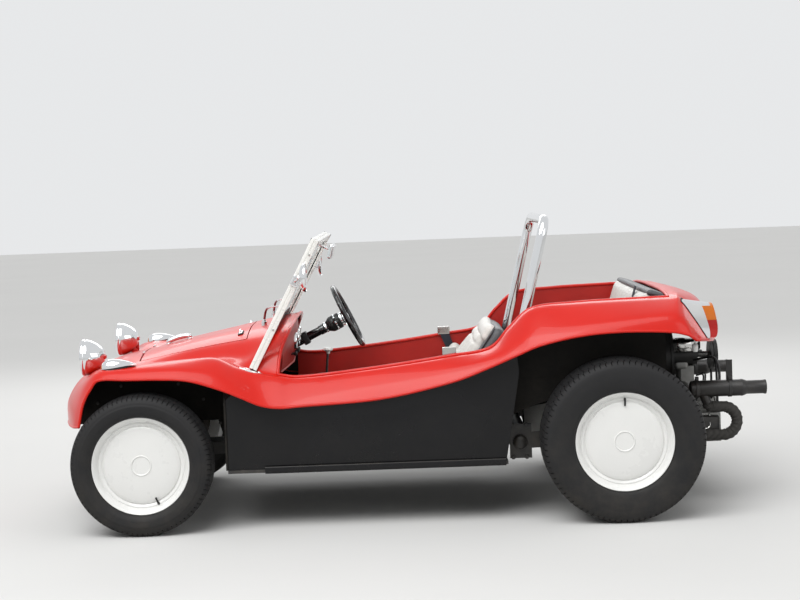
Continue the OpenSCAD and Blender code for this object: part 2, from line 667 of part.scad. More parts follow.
module fan_shroud() {
    color([0.08, 0.08, 0.08]) place() {
        block([engine_x - 150, -350, crank_z + 105.3], [engine_x - 50, 350, crank_z + 200]);
        translate([engine_x - 50, 0, fan_z]) rotate([0, -90, 0]) cylinder(h = 100, r = 140);
        // generator, its shaft and its pulley in line with the crank pulley
        translate([engine_x - 149, 0, fan_z]) rotate([0, -90, 0]) cylinder(h = 121, r = 50);
        translate([engine_x - 269, 0, fan_z]) rotate([0, -90, 0]) cylinder(h = 64, r = 14);
        translate([engine_x - 331, 0, fan_z]) rotate([0, -90, 0]) cylinder(h = 26, r = 68);
    }
}

module exhaust() {
    tip_x = rear_x - tip_reach;
    pipe_r = 21;
    pot_y = 438;
    pot_z = 505;
    bend = 62;
    low_z = 300;
    bend_x = tip_x + 190;
    $fn = 32;
    color([0.07, 0.07, 0.07]) place() both_sides() {
        difference() {
            translate([tip_x, pot_y, pot_z]) rotate([0, 90, 0]) cylinder(h = 104, r = 30);
            translate([tip_x - 1, pot_y, pot_z]) rotate([0, 90, 0]) cylinder(h = 90, r = 26);
        }
        translate([tip_x + 104, pot_y, pot_z]) rotate([0, 90, 0]) cylinder(h = 228, r = 36);
        // header: out of the head, back, round the bend and up into the silencer
        rod([engine_x - 80, 300, crank_z - 55.3], [engine_x - 80, 300, crank_z - 92], pipe_r);
        for (c = [[engine_x - 80, 300, crank_z - 92], [engine_x - 140, pot_y, crank_z - 92],
            [engine_x - 220, pot_y, low_z], [bend_x + 60, pot_y, low_z + 2 * bend]])
            translate(c) sphere(r = pipe_r + 1);
        rod([engine_x - 80, 300, crank_z - 92], [engine_x - 140, pot_y, crank_z - 92], pipe_r);
        rod([engine_x - 140, pot_y, crank_z - 92], [engine_x - 220, pot_y, low_z], pipe_r);
        rod([engine_x - 220, pot_y, low_z], [bend_x, pot_y, low_z], pipe_r);
        translate([bend_x, pot_y, low_z + bend]) rotate([90, -90, 0])
            rotate_extrude(angle = 180) translate([bend, 0]) circle(r = pipe_r);
        rod([bend_x, pot_y, low_z + 2 * bend], [bend_x + 60, pot_y, low_z + 2 * bend], pipe_r);
        rod([bend_x + 60, pot_y, low_z + 2 * bend], [bend_x + 90, pot_y, pot_z], pipe_r);
    }
}

// ---------- knuckles and steering linkage ----------
rod_x = -steer_arm;
rod_z = front_z + 40;
pin_r = 8;
eye_h = 16;
box_z = rod_z + 20;
hub_in_front = front_track / 2 - 38;
hub_in = rear_track / 2 - 105;
module knuckle(side) {
    color([0.2, 0.2, 0.2]) place() scale([1, side, 1]) {
        translate([0, kingpin_y, front_z - arm_z + 15]) cylinder(h = 2 * arm_z - 30, r = 18);
        cross_rod(0, front_z, kingpin_y, hub_in_front + 58, spindle_r);
        cross_rod(0, front_z, hub_in_front - 8, hub_in_front - 4, drum_r + 3);
        block([rod_x - 13, kingpin_y - 13, rod_z - 26], [-6, kingpin_y + 13, rod_z - 12]);
        translate([rod_x, kingpin_y, rod_z - 13]) cylinder(h = 24, r = pin_r);
    }
}

module track_rod() {
    color([0.3, 0.3, 0.3]) place() difference() {
        union() {
            cross_rod(rod_x, rod_z, -kingpin_y, kingpin_y, 7);
            for (y = [-kingpin_y, -300, kingpin_y])
                translate([rod_x, y, rod_z - eye_h / 2]) cylinder(h = eye_h, r = 15);
        }
        for (y = [-kingpin_y, -300, kingpin_y])
            translate([rod_x, y, rod_z - eye_h]) cylinder(h = 2 * eye_h, r = pin_r + run_gap);
    }
}

module pitman_arm() {
    color([0.2, 0.2, 0.2]) place() {
        hull() {
            translate([0, -300, rod_z + 11]) cylinder(h = 8.5, r = 20, $fn = 32);
            translate([rod_x, -300, rod_z + 11]) cylinder(h = 8.5, r = 13, $fn = 32);
        }
        translate([rod_x, -300, rod_z - 11]) cylinder(h = 23, r = pin_r);
    }
}

// ---------- wheels ----------
// rim with its cap and drum, outer face towards +Y, centred on the tyre; hub is the drum's inner face
module rim(w, hub) {
    o = w / 2;
    rotate([-90, 0, 0]) rotate_extrude($fn = 96) polygon([
        [rim_r, -o], [rim_r, -o + 8], [192, -o + 14], [188, -o + 30], [188, o - 30], [192, o - 14],
        [rim_r, o - 8], [rim_r, o], [rim_r - 6, o], [182, o - 22], [165, o - 34], [0, o - 24],
        [0, o - 32], [160, o - 42], [180, o - 40], [182, o - 32], [182, -o + 32], [186, -o + 12],
        [rim_r - 6, -o]]);
    cross_rod(0, 0, hub, o - 30, drum_r);
}

module front_rim(side) {
    color("white") place() scale([1, side, 1]) translate([0, front_track / 2, front_z]) difference() {
        rim(front_rim_w, -38);
        cross_rod(0, 0, -39, 24, spindle_r + run_gap);
    }
}

module rear_rim(side) {
    color("white") place() scale([1, side, 1]) translate([rear_x, rear_track / 2, rear_z]) {
        rim(rear_rim_w, -105);
        cross_rod(0, 0, -165, -104, spindle_r);
    }
}

module tyre(r, w) {
    c = 22;
    rotate([-90, 0, 0]) rotate_extrude($fn = 128) polygon([
        [rim_r + 0.3, -w / 2 + 26], [rim_r + 14, -w / 2 + 10], [(r + rim_r) / 2, -w / 2], [r - c, -w / 2 + 8],
        [r - 4, -w / 2 + c], [r, -w / 2 + 40], [r, w / 2 - 40], [r - 4, w / 2 - c], [r - c, w / 2 - 8],
        [(r + rim_r) / 2, w / 2], [rim_r + 14, w / 2 - 10], [rim_r + 0.3, w / 2 - 26]]);
}

module front_tyre(side) {
    color([0.05, 0.05, 0.05]) place() scale([1, side, 1]) translate([0, front_track / 2, front_z])
        tyre(front_tyre_r, front_tyre_w);
}

module rear_tyre(side) {
    color([0.05, 0.05, 0.05]) place() scale([1, side, 1]) translate([rear_x, rear_track / 2, rear_z])
        tyre(rear_tyre_r, rear_tyre_w);
}

floor_pan();
front_body();
body_side(1);  // left_body_side
body_side(-1);  // right_body_side
rear_body();
hood();
side_panel(1);  // left_side_panel
side_panel(-1);  // right_side_panel
front_tub();
rear_tub();
dashboard();
windshield_frame();
windshield_glass();
roll_bar();
seat(1, 35, 0);  // left_seat
seat(-1, 41, 20);  // right_seat
rear_seat();
steering_column();
driver_controls();
headlights();
turn_signals();
tail_lamps();
mirrors();
fuel_tank();
front_axle_beam();
trailing_arms();
shock_absorbers();
rear_torsion_tube();
transaxle();
engine();
fan_shroud();
exhaust();
knuckle(1);  // left_knuckle
knuckle(-1);  // right_knuckle
pitman_arm();
track_rod();
steering_wheel();
front_rim(1);  // front_left_rim
front_tyre(1);  // front_left_tyre
front_rim(-1);  // front_right_rim
front_tyre(-1);  // front_right_tyre
rear_rim(1);  // rear_left_rim
rear_tyre(1);  // rear_left_tyre
rear_rim(-1);  // rear_right_rim
rear_tyre(-1);  // rear_right_tyre
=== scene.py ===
"""Looks of an open dune buggy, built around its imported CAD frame.

Shapes are worked out in millimetres in the car's own coordinates: X = 0 at the front axle and forward, +Y the
car's left, +Z up from the ground. make() turns them into metres in the frame's coordinates.
"""

from math import acos, asin, atan, cos, degrees, pi, radians, sin, tan

import bmesh
import bpy
import numpy as np
from bpy.props import FloatProperty, FloatVectorProperty, IntProperty, PointerProperty
from mathutils import Matrix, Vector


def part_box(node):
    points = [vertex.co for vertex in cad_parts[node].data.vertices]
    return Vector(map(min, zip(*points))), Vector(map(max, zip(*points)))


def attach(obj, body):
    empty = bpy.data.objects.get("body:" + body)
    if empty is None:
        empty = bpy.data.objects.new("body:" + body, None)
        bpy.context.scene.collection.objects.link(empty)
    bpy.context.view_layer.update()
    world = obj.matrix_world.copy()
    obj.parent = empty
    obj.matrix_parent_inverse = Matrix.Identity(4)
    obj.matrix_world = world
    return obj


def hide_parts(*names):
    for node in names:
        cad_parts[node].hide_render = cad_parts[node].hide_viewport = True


bl_info = {
    "name": "Dune buggy looks",
    "version": (1, 0, 0),
    "blender": (4, 5, 0),
    "location": "View3D > Sidebar > Buggy",
    "description": "Builds the visible pieces, finishes, lights and camera of an open dune buggy",
    "category": "Add Mesh",
}

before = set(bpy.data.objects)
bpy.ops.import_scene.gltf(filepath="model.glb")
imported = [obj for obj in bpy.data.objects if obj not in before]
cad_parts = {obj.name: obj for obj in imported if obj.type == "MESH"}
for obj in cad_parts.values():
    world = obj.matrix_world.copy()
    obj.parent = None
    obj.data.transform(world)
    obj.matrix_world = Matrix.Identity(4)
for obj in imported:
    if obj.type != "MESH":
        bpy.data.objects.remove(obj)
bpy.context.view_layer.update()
MM = 0.001


def axle_x(node):
    """X of a wheel's centre in the frame, in metres."""
    low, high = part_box(node)
    return (low[0] + high[0]) / 2


ORIGIN_X = axle_x("front_left_tyre")
REAR_X = (axle_x("rear_left_tyre") - ORIGIN_X) / MM


def cad_box(node):
    """Lowest and highest corner of a CAD node in the car's millimetres."""
    return [(np.array(corner) - [ORIGIN_X, 0, 0]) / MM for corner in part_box(node)]


# ---------- sizes and colours a user would change ----------

def colour(name, text, default):
    """A colour that a user may change."""
    return FloatVectorProperty(name=name, description=text, default=default, size=3, min=0, max=1,
                               subtype="COLOR")


class BuggySizes(bpy.types.PropertyGroup):
    skin_cells: IntProperty(
        name="Skin cells", default=9, min=3, max=16,
        description="Faces of the bodywork between two neighbouring guide points")
    skin_thickness: FloatProperty(
        name="Skin thickness", default=6 * MM, min=3 * MM, max=9 * MM, unit="LENGTH",
        description="Thickness of the moulded body skin")
    lip_radius: FloatProperty(
        name="Lip radius", default=6 * MM, min=3 * MM, max=9 * MM, unit="LENGTH",
        description="Radius of the rolled lip round the fenders and the tail")
    tread_pitches: IntProperty(
        name="Tread pitches", default=84, min=40, max=110,
        description="Shoulder slots in one turn of a tyre")
    tread_depth: FloatProperty(
        name="Tread depth", default=7 * MM, min=2 * MM, max=10 * MM, unit="LENGTH",
        description="Depth of the grooves round the tyres")
    pad_swell: FloatProperty(
        name="Pad swell", default=9 * MM, min=0, max=20 * MM, unit="LENGTH",
        description="Furthest that a seat pad's surface may swell when it is stuffed")
    seam_depth: FloatProperty(
        name="Seam depth", default=7 * MM, min=0, max=15 * MM, unit="LENGTH",
        description="Depth of the sewn channels in the seats")
    steering_spokes: IntProperty(
        name="Steering spokes", default=3, min=2, max=5,
        description="Number of spokes of the steering wheel")


class BuggyColours(bpy.types.PropertyGroup):
    body: colour("Body", "Gelcoat of the bodywork", (0.62, 0.010, 0.003))
    panel: colour("Side panels", "Gloss paint of the lower side panels", (0.006, 0.006, 0.007))
    chassis: colour("Chassis", "Satin paint of the running gear", (0.016, 0.016, 0.017))
    wheels: colour("Wheels", "Paint of the rims and hub caps", (0.80, 0.80, 0.78))
    seats: colour("Seats", "Light vinyl of the seats", (0.74, 0.72, 0.68))
    seat_trim: colour("Seat trim", "Dark vinyl of the seat backs and the top band", (0.075, 0.078, 0.085))
    tyres: colour("Tyres", "Rubber of the tyres", (0.013, 0.013, 0.014))
    amber: colour("Amber lens", "Colour of the turn lamps", (0.85, 0.22, 0.01))
    red: colour("Red lens", "Colour of the stop and tail lamps", (0.55, 0.01, 0.008))


def sizes():
    """The sizes in use."""
    return bpy.context.scene.buggy_sizes


def colours():
    """The colours in use."""
    return bpy.context.scene.buggy_colours


# ---------- the body surface ----------
# Guide points [x, y, z] from the centreline to the fender lip: crown, hood, hood edge, valley, inner rail,
# top, crease, lip. Front stations count X from the front axle and rear ones from the rear axle.

RAILS = 7
WINDSHIELD_LEAN = radians(28)
WINDSHIELD_FOOT = 677
COCKPIT_FRONT = -560
COCKPIT_REAR = REAR_X + 547


def windshield_x(z):
    """X of the windshield's plane at height z."""
    return -478 - (z - 684) * tan(WINDSHIELD_LEAN)


def cockpit_x(share):
    """X at a share of the cockpit side's length."""
    return COCKPIT_FRONT + share * (COCKPIT_REAR - COCKPIT_FRONT)


def station(base, *points):
    """One row of guide points, with X counted from base."""
    return np.array(points, float) + [base, 0, 0]


def level(base, x, points):
    """A row of guide points that all stand at the same X."""
    return station(base, *[(x, y, z) for y, z in points])


def scuttle(xs, share, points):
    """A row whose inner four points have X of their own and whose outer four follow the cockpit side."""
    return station(0, *[(x, y, z) for x, (y, z) in zip([*xs] + [cockpit_x(share)] * 4, points)])


def ws(y, z):
    """A guide point on the windshield's plane."""
    return windshield_x(z), y, z


STATIONS = np.array([
    station(0, (392.7, 0, 450), (389, 180, 450), (378, 330, 452), (358, 430, 455),
            (335, 530, 460), (312, 610, 464), (286, 680, 468), (257, 730, 474)),
    station(0, (396.7, 0, 545), (391, 175, 545), (375, 325, 545), (352, 430, 548),
            (326, 530, 552), (298, 610, 556), (266, 680, 562), (236, 728, 568)),
    station(0, (340, 0, 632), (335, 170, 630), (318, 320, 628), (297, 430, 630),
            (278, 525, 640), (252, 608, 648), (224, 680, 650), (198, 728, 637)),
    station(0, (215, 0, 690), (212, 165, 686), (203, 310, 674), (196, 420, 672),
            (188, 515, 690), (178, 605, 704), (166, 688, 700), (158, 730, 672)),
    station(0, (60, 0, 728), (60, 165, 722), (55, 308, 702), (50, 412, 684),
            (45, 510, 702), (42, 605, 716), (40, 690, 706), (40, 732, 669)),
    station(0, (-90, 0, 762), (-90, 168, 756), (-92, 310, 730), (-95, 405, 694),
            (-95, 505, 712), (-95, 605, 725), (-95, 690, 707), (-95, 732, 666)),
    station(0, (-210, 0, 787), (-210, 175, 781), (-210, 315, 752), (-210, 408, 703),
            (-208, 508, 720), (-205, 605, 731), (-208, 690, 702), (-212, 732, 656)),
    station(0, (-330, 0, 810), (-330, 185, 804), (-330, 338, 772), (-328, 432, 716),
            (-322, 520, 720), (-318, 605, 730), (-325, 690, 678), (-335, 732, 618)),
    station(0, (-440, 0, 832), (-440, 200, 826), (-436, 372, 790), (-432, 474, 722),
            (-412, 550, 694), (-405, 620, 686), (-420, 688, 628), (-432, 728, 577)),
    station(0, ws(0, 856), ws(215, 850), ws(400, 816), ws(505, 744),
            ws(570, 672), (-486, 622, 662), (-500, 682, 590), (-512, 720, 540)),
    station(0, (-640, 0, 866), (-640, 225, 859), (-624, 414, 824), (-592, 516, 746),
            (-580, 570, 650), (-580, 620, 643), (-585, 678, 577), (-590, 714, 525)),
    scuttle((-720, -720, -710, -700), 0.15, ((0, 872), (230, 866), (420, 830), (520, 746),
            (570, 638), (618, 632), (672, 578), (706, 529))),
    scuttle((-1020,) * 4, 0.5, ((0, 880), (230, 874), (420, 840), (520, 760),
            (570, 667), (616, 660), (670, 607), (702, 547))),
    scuttle((-1315,) * 4, 0.82, ((0, 890), (230, 884), (420, 850), (520, 780),
            (570, 704), (616, 697), (674, 656), (706, 606))),
    station(REAR_X, (547, 0, 900), (547, 230, 894), (547, 420, 870), (547, 520, 810),
            (540, 570, 732), (545, 618, 726), (550, 682, 702), (550, 716, 664)),
    station(REAR_X, (440, 0, 915), (440, 230, 912), (440, 420, 890), (440, 520, 860),
            (450, 570, 820), (450, 620, 812), (446, 698, 752), (438, 734, 711)),
    station(REAR_X, (340, 0, 930), (340, 230, 928), (340, 420, 915), (340, 520, 905),
            (352, 570, 897), (350, 626, 888), (345, 718, 806), (330, 754, 754)),
    level(REAR_X, 170, ((0, 940), (230, 940), (420, 930), (520, 920),
          (570, 914), (634, 903), (738, 832), (770, 788))),
    level(REAR_X, 0, ((0, 945), (230, 945), (420, 938), (520, 928),
          (570, 920), (636, 909), (744, 848), (776, 800))),
    station(REAR_X, (-238, 0, 944), (-238, 200, 944), (-236, 380, 940), (-234, 500, 932),
            (-230, 570, 924), (-222, 634, 912), (-205, 742, 860), (-196, 774, 793)),
    station(REAR_X, (-325, 0, 932), (-323, 200, 932), (-314, 380, 930), (-300, 500, 926),
            (-284, 570, 920), (-273, 632, 910), (-266, 736, 846), (-276, 770, 778)),
    station(REAR_X, (-420, 0, 895), (-412, 200, 895), (-392, 380, 890), (-364, 500, 872),
            (-344, 570, 850), (-330, 630, 834), (-308, 730, 792), (-300, 766, 766)),
    station(REAR_X, (-487, 0, 800), (-472, 200, 800), (-442, 380, 796), (-412, 500, 786),
            (-388, 570, 776), (-370, 632, 770), (-330, 726, 764), (-312, 762, 757)),
    station(REAR_X, (-503, 0, 715), (-487, 200, 715), (-457, 380, 718), (-430, 500, 725),
            (-409, 575, 733), (-388, 640, 739), (-344, 724, 748), (-318, 758, 751)),
])
GUIDES = np.concatenate([STATIONS[:, :0:-1] * [1, -1, 1], STATIONS], axis=1)
HOOD_FRONT, HOOD_REAR, HOOD_SIDE = 4, 8, 2
AT_WINDSHIELD = 9
AT_SCUTTLE = 10
AT_SIDE = 11
AT_TAIL = 19
AT_END = len(STATIONS) - 1
COCKPIT_RAIL = 4


def curve_weights(t, count):
    """Rows that turn count guide points into a clamped Catmull-Rom curve at parameters t. With f the fraction
    of a span and a, b, c, d its neighbours: (2b + (c-a)f + (2a-5b+4c-d)f^2 + (3b-a-3c+d)f^3) / 2."""
    t = np.atleast_1d(np.asarray(t, float))
    span = np.clip(np.floor(t).astype(int), 0, count - 2)
    f = t - span
    shares = np.stack([-f + 2 * f**2 - f**3, 2 - 5 * f**2 + 3 * f**3,
                       f + 4 * f**2 - 3 * f**3, f**3 - f**2]) / 2
    rows = np.zeros((len(t), count))
    for k, share in enumerate(shares):
        np.add.at(rows, (np.arange(len(t)), np.clip(span - 1 + k, 0, count - 1)), share)
    return rows


def skin(us, vs):
    """Body surface over stations us and rails vs: the guide net weighted along both directions."""
    along = curve_weights(us, len(GUIDES))
    across = curve_weights(np.atleast_1d(vs) + RAILS, 2 * RAILS + 1)
    return np.einsum("us,srk,vr->uvk", along, GUIDES, across)


def skin_normals(us, vs, step=0.01):
    """Unit normals of the body surface, from central differences along rails and stations."""
    us, vs = np.atleast_1d(us), np.atleast_1d(vs)
    along = skin(us + step, vs) - skin(us - step, vs)
    across = skin(us, vs + step) - skin(us, vs - step)
    normal = np.cross(across, along)
    return normal / np.linalg.norm(normal, axis=-1, keepdims=True)


def rail_points(v, xs):
    """Points of the body surface on rail v at each X, read off the finely sampled rail."""
    line = skin(np.linspace(2, AT_END - 3, 400), v)[:, 0]
    order = np.argsort(line[:, 0])
    return np.stack([np.interp(xs, line[order, 0], line[order, k]) for k in range(3)], -1)


# ---------- shapes ----------
# A patch is (points, faces, material number of each face).

def patch(points, faces):
    """A patch with material number 0."""
    return np.asarray(points, float).reshape(-1, 3), [list(f) for f in faces], [0] * len(faces)


def join(*patches):
    """Several patches as one."""
    points, faces, materials = [], [], []
    count = 0
    for p, f, m in patches:
        points.append(p)
        faces += [[i + count for i in face] for face in f]
        materials += m
        count += len(p)
    return np.concatenate(points), faces, materials


def painted(shape, material):
    """The shape with another material number on all its faces."""
    return shape[0], shape[1], [material] * len(shape[1])


def mirrored(shape):
    """The shape on the car's other side."""
    return shape[0] * [1, -1, 1], shape[1], shape[2]


def both_sides(*shapes):
    """The shapes with their mirror images on the car's other side."""
    whole = join(*shapes)
    return join(whole, mirrored(whole))


def moved(shape, origin=(0, 0, 0), axes=None):
    """The shape with its own X, Y and Z laid along the columns of axes, at origin."""
    points = shape[0] if axes is None else shape[0] @ np.asarray(axes, float).T
    return points + np.asarray(origin, float), shape[1], shape[2]


def turned_y(angle):
    """Axes turned about Y by an angle in degrees."""
    a = radians(angle)
    return np.array([[cos(a), 0, sin(a)], [0, 1, 0], [-sin(a), 0, cos(a)]])


def turned_z(angle):
    """Axes turned about Z by an angle in radians."""
    c, s = cos(angle), sin(angle)
    return np.array([[c, -s, 0], [s, c, 0], [0, 0, 1]])


def axes_along(direction):
    """Axes whose Z lies along direction."""
    z = np.asarray(direction, float)
    z = z / np.linalg.norm(z)
    helper = np.array([0, 0, 1.0]) if abs(z[2]) < 0.9 else np.array([1.0, 0, 0])
    x = np.cross(helper, z)
    x /= np.linalg.norm(x)
    return np.stack([x, np.cross(z, x), z], axis=1)


def grid(points, wrap_u=False, wrap_v=False):
    """Quads over an array of points, joined round where a direction wraps."""
    m, n = points.shape[:2]
    index = np.arange(m * n).reshape(m, n)
    if wrap_u:
        index = np.vstack([index, index[:1]])
    if wrap_v:
        index = np.hstack([index, index[:, :1]])
    quads = np.stack([index[:-1, :-1], index[1:, :-1], index[1:, 1:], index[:-1, 1:]], -1).reshape(-1, 4)
    return patch(points, quads.tolist())


def shell(outer, inner, keep=None, inside=0):
    """Closed shell between two grids over the cells kept, with walls wherever a kept cell has no kept
    neighbour. The inner face takes the material number inside."""
    m, n = outer.shape[:2]
    keep = np.ones((m - 1, n - 1), bool) if keep is None else keep
    index = np.arange(m * n).reshape(m, n)
    low = m * n
    a, b, c, d = index[:-1, :-1], index[:-1, 1:], index[1:, :-1], index[1:, 1:]
    top = np.stack([a, c, d, b], -1)[keep]
    bottom = np.stack([a, b, d, c], -1)[keep] + low
    fenced = np.pad(keep, 1)
    walls = []
    for i, j, p, q in ((-1, 0, a, b), (0, 1, b, d), (1, 0, d, c), (0, -1, c, a)):
        edge = keep & ~fenced[1 + i:m + i, 1 + j:n + j]
        walls.append(np.stack([p[edge], q[edge], q[edge] + low, p[edge] + low], -1))
    walls = np.concatenate(walls)
    points = np.concatenate([outer.reshape(-1, 3), inner.reshape(-1, 3)])
    faces = top.tolist() + walls.tolist() + bottom.tolist()
    return points, faces, [0] * (len(top) + len(walls)) + [inside] * len(bottom)


def lathe(profile, sides=64, ring=False):
    """Profile of (radius, height) turned about Z. A ring profile closes on itself."""
    profile = np.asarray(profile, float)
    turn = np.linspace(0, 2 * pi, sides, endpoint=False)
    r, h = profile[:, 0, None], profile[:, 1, None]
    points = np.stack([r * np.cos(turn), r * np.sin(turn), h + 0 * turn], -1)
    return grid(points, wrap_u=ring, wrap_v=True)


def disc(radius, height, thickness, sides=32, edge=1.0):
    """Round plate with softened edges, from height up."""
    top = height + thickness
    e = min(edge, thickness / 2.5, radius / 2.5)
    return lathe([(0, height), (radius - e, height), (radius, height + e), (radius, top - e),
                  (radius - e, top), (0, top)], sides)


def tube(path, radius, sides=16, closed=False):
    """Round bar along a path of points. Its rings stand square to the path, turned from the direction in
    which the path spreads least, and its ends draw in to a point on the end plane."""
    path = np.asarray(path, float)
    tangent = np.roll(path, -1, 0) - np.roll(path, 1, 0) if closed else np.gradient(path, axis=0)
    tangent /= np.linalg.norm(tangent, axis=1, keepdims=True)
    flat = np.linalg.svd(path - path.mean(0))[2][-1]
    side = np.cross(tangent, flat)
    side /= np.linalg.norm(side, axis=1, keepdims=True)
    up = np.cross(tangent, side)
    turn = np.linspace(0, 2 * pi, sides, endpoint=False)[:, None]
    radii = np.broadcast_to(np.asarray(radius, float), (len(path),))[:, None, None]
    ring = side[:, None] * np.cos(turn) + up[:, None] * np.sin(turn)
    points = path[:, None] + radii * ring
    if not closed:
        ends = np.broadcast_to(path[[0, -1]][:, None], (2, sides, 3))
        points = np.concatenate([ends[:1], points, ends[1:]])
    return grid(points, wrap_u=closed, wrap_v=True)


def bar(a, b, radius, sides=20, edge=1.0):
    """Straight round bar with softened ends."""
    a, b = np.asarray(a, float), np.asarray(b, float)
    return moved(disc(radius, 0, np.linalg.norm(b - a), sides, edge), a, axes_along(b - a))


ACROSS, AHEAD, BACK = (axes_along(direction) for direction in ((0, 1, 0), (1, 0, 0), (-1, 0, 0)))


def spun(profile, at, axes, sides=64, ring=False):
    """Profile turned about the Z of the axes through a point, with its heights counted along it."""
    return moved(lathe(profile, sides, ring), at, axes)


def smooth(points, per=8):
    """Points of a Catmull-Rom curve through the given ones."""
    points = np.asarray(points, float)
    t = np.linspace(0, len(points) - 1, (len(points) - 1) * per + 1)
    return curve_weights(t, len(points)) @ points


def hose(points, radius, sides=10, per=10):
    """Round bar along a smooth curve through the points."""
    return tube(smooth(points, per), radius, sides)


def rounded(points, radius, steps=10):
    """Polyline whose inner corners are arcs of the given radius."""
    points = np.asarray(points, float)
    out = [points[:1]]
    for before, corner, after in zip(points, points[1:], points[2:]):
        a = (before - corner) / np.linalg.norm(before - corner)
        b = (after - corner) / np.linalg.norm(after - corner)
        half = acos(float(np.clip(a @ b, -1, 1))) / 2
        reach = radius / tan(half)
        middle = (a + b) / np.linalg.norm(a + b)
        centre = corner + middle * radius / sin(half)
        x = (corner + a * reach - centre) / radius
        y = middle * -1 - x * (middle * -1 @ x)
        y /= np.linalg.norm(y)
        sweep = np.linspace(0, pi - 2 * half, steps + 1)[:, None]
        out.append(centre + radius * (x * np.cos(sweep) + y * np.sin(sweep)))
    out.append(points[-1:])
    return np.concatenate(out)


def block(low, high):
    """Box between two corners."""
    low, high = np.asarray(low, float), np.asarray(high, float)
    pick = np.array([[x, y, z] for x in (0, 1) for y in (0, 1) for z in (0, 1)])
    faces = [[0, 1, 3, 2], [4, 6, 7, 5], [0, 4, 5, 1], [2, 3, 7, 6], [0, 2, 6, 4], [1, 5, 7, 3]]
    return patch(low + pick * (high - low), faces)


def plate(outline, low, high, axes=None, origin=(0, 0, 0)):
    """Flat outline in X and Y raised from Z = low to Z = high, then laid along axes."""
    outline = np.asarray(outline, float)
    n = len(outline)
    ring = [np.column_stack([outline, np.full(n, z)]) for z in (low, high)]
    sides = [[i, (i + 1) % n, n + (i + 1) % n, n + i] for i in range(n)]
    faces = [list(range(n))[::-1], list(range(n, 2 * n))] + sides
    return moved(patch(np.concatenate(ring), faces), origin, axes)


def soft_block(low, high, radius, cells=24):
    """Box with rounded edges, as six fine grids: each point keeps its place within the inner box and lies at
    the radius from it."""
    low, high = np.asarray(low, float), np.asarray(high, float)
    half = (high - low) / 2
    radius = min(radius, *(half * 0.98))
    t = np.sin(np.linspace(-pi / 2, pi / 2, cells + 1))
    a, b = np.meshgrid(t, t, indexing="ij")
    faces = []
    for axis in range(3):
        for sign in (-1, 1):
            cube = np.stack([np.full_like(a, sign), a, b] if axis == 0 else
                            [a, np.full_like(a, sign), b] if axis == 1 else [a, b, np.full_like(a, sign)], -1)
            flat = cube * half
            core = np.clip(flat, -(half - radius), half - radius)
            out = flat - core
            faces.append(grid(core + radius * out / np.linalg.norm(out, axis=-1, keepdims=True)))
    return moved(join(*faces), (low + high) / 2)


# ---------- making objects ----------

FINISHES = {}


def stand(name, data):
    """A new object in the scene."""
    made = bpy.data.objects.new(name, data)
    bpy.context.scene.collection.objects.link(made)
    return made


def make(name, shape, materials, body="chassis", slot=None, replaces=(), bevel=0, sharp=38, weld=0.02):
    """Puts a shape into a mesh object with the named finishes: doubles merged, faces turned outwards, smooth
    but for its sharp edges."""
    points, faces, numbers = shape
    mesh = bpy.data.meshes.new(name)
    mesh.from_pydata((points * MM + [ORIGIN_X, 0, 0]).tolist(), [], faces)
    for material in materials.split():
        mesh.materials.append(FINISHES[material])
    mesh.polygons.foreach_set("material_index", numbers)
    work = bmesh.new()
    work.from_mesh(mesh)
    bmesh.ops.remove_doubles(work, verts=work.verts, dist=weld * MM)
    bmesh.ops.dissolve_degenerate(work, edges=work.edges, dist=weld * MM)
    bmesh.ops.recalc_face_normals(work, faces=work.faces)
    work.to_mesh(mesh)
    work.free()
    mesh.polygons.foreach_set("use_smooth", [True] * len(mesh.polygons))
    mesh.set_sharp_from_angle(angle=radians(sharp))
    made = stand(name, mesh)
    if bevel:
        edge = made.modifiers.new("Edges", "BEVEL")
        edge.width = bevel * MM
        edge.segments = 2
        edge.limit_method = "ANGLE"
        edge.angle_limit = radians(sharp)
        edge.harden_normals = True
    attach(made, body)
    if replaces:
        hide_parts(*replaces)
    return made


def finish_nodes(material, *nodes):
    """Gives CAD nodes that stay in view their finish."""
    for node in nodes:
        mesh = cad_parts[node].data
        mesh.materials.clear()
        mesh.materials.append(FINISHES[material])


# ---------- finishes ----------

def feed(tree, socket, value):
    """Sets a socket, or links it when the value is another socket."""
    if isinstance(value, bpy.types.NodeSocket):
        tree.links.new(value, socket)
    else:
        socket.default_value = value


def add(tree, kind, settings=None, **inputs):
    """A node with its settings and its inputs, whose names have spaces in place of underscores."""
    made = tree.nodes.new(kind)
    for key, value in (settings or {}).items():
        setattr(made, key, value)
    for key, value in inputs.items():
        feed(tree, made.inputs[key.replace("_", " ")], value)
    return made


def maths(tree, operation, a, b):
    """One step of arithmetic on two sockets or numbers."""
    made = tree.nodes.new("ShaderNodeMath")
    made.operation = operation
    for socket, value in zip(made.inputs, (a, b)):
        feed(tree, socket, value)
    return made.outputs[0]


def blend(tree, factor, a, b):
    """Colour a, turning to b as the factor goes to 1."""
    made = tree.nodes.new("ShaderNodeMix")
    made.data_type = "RGBA"
    for socket, value in zip((made.inputs[0], made.inputs[6], made.inputs[7]), (factor, a, b)):
        feed(tree, socket, value)
    return made.outputs[2]


def spread(tree, value, low, high, to_low, to_high):
    """Value stretched from one range to another, and held at its ends."""
    return add(tree, "ShaderNodeMapRange", Value=value, From_Min=low, From_Max=high,
               To_Min=to_low, To_Max=to_high).outputs[0]


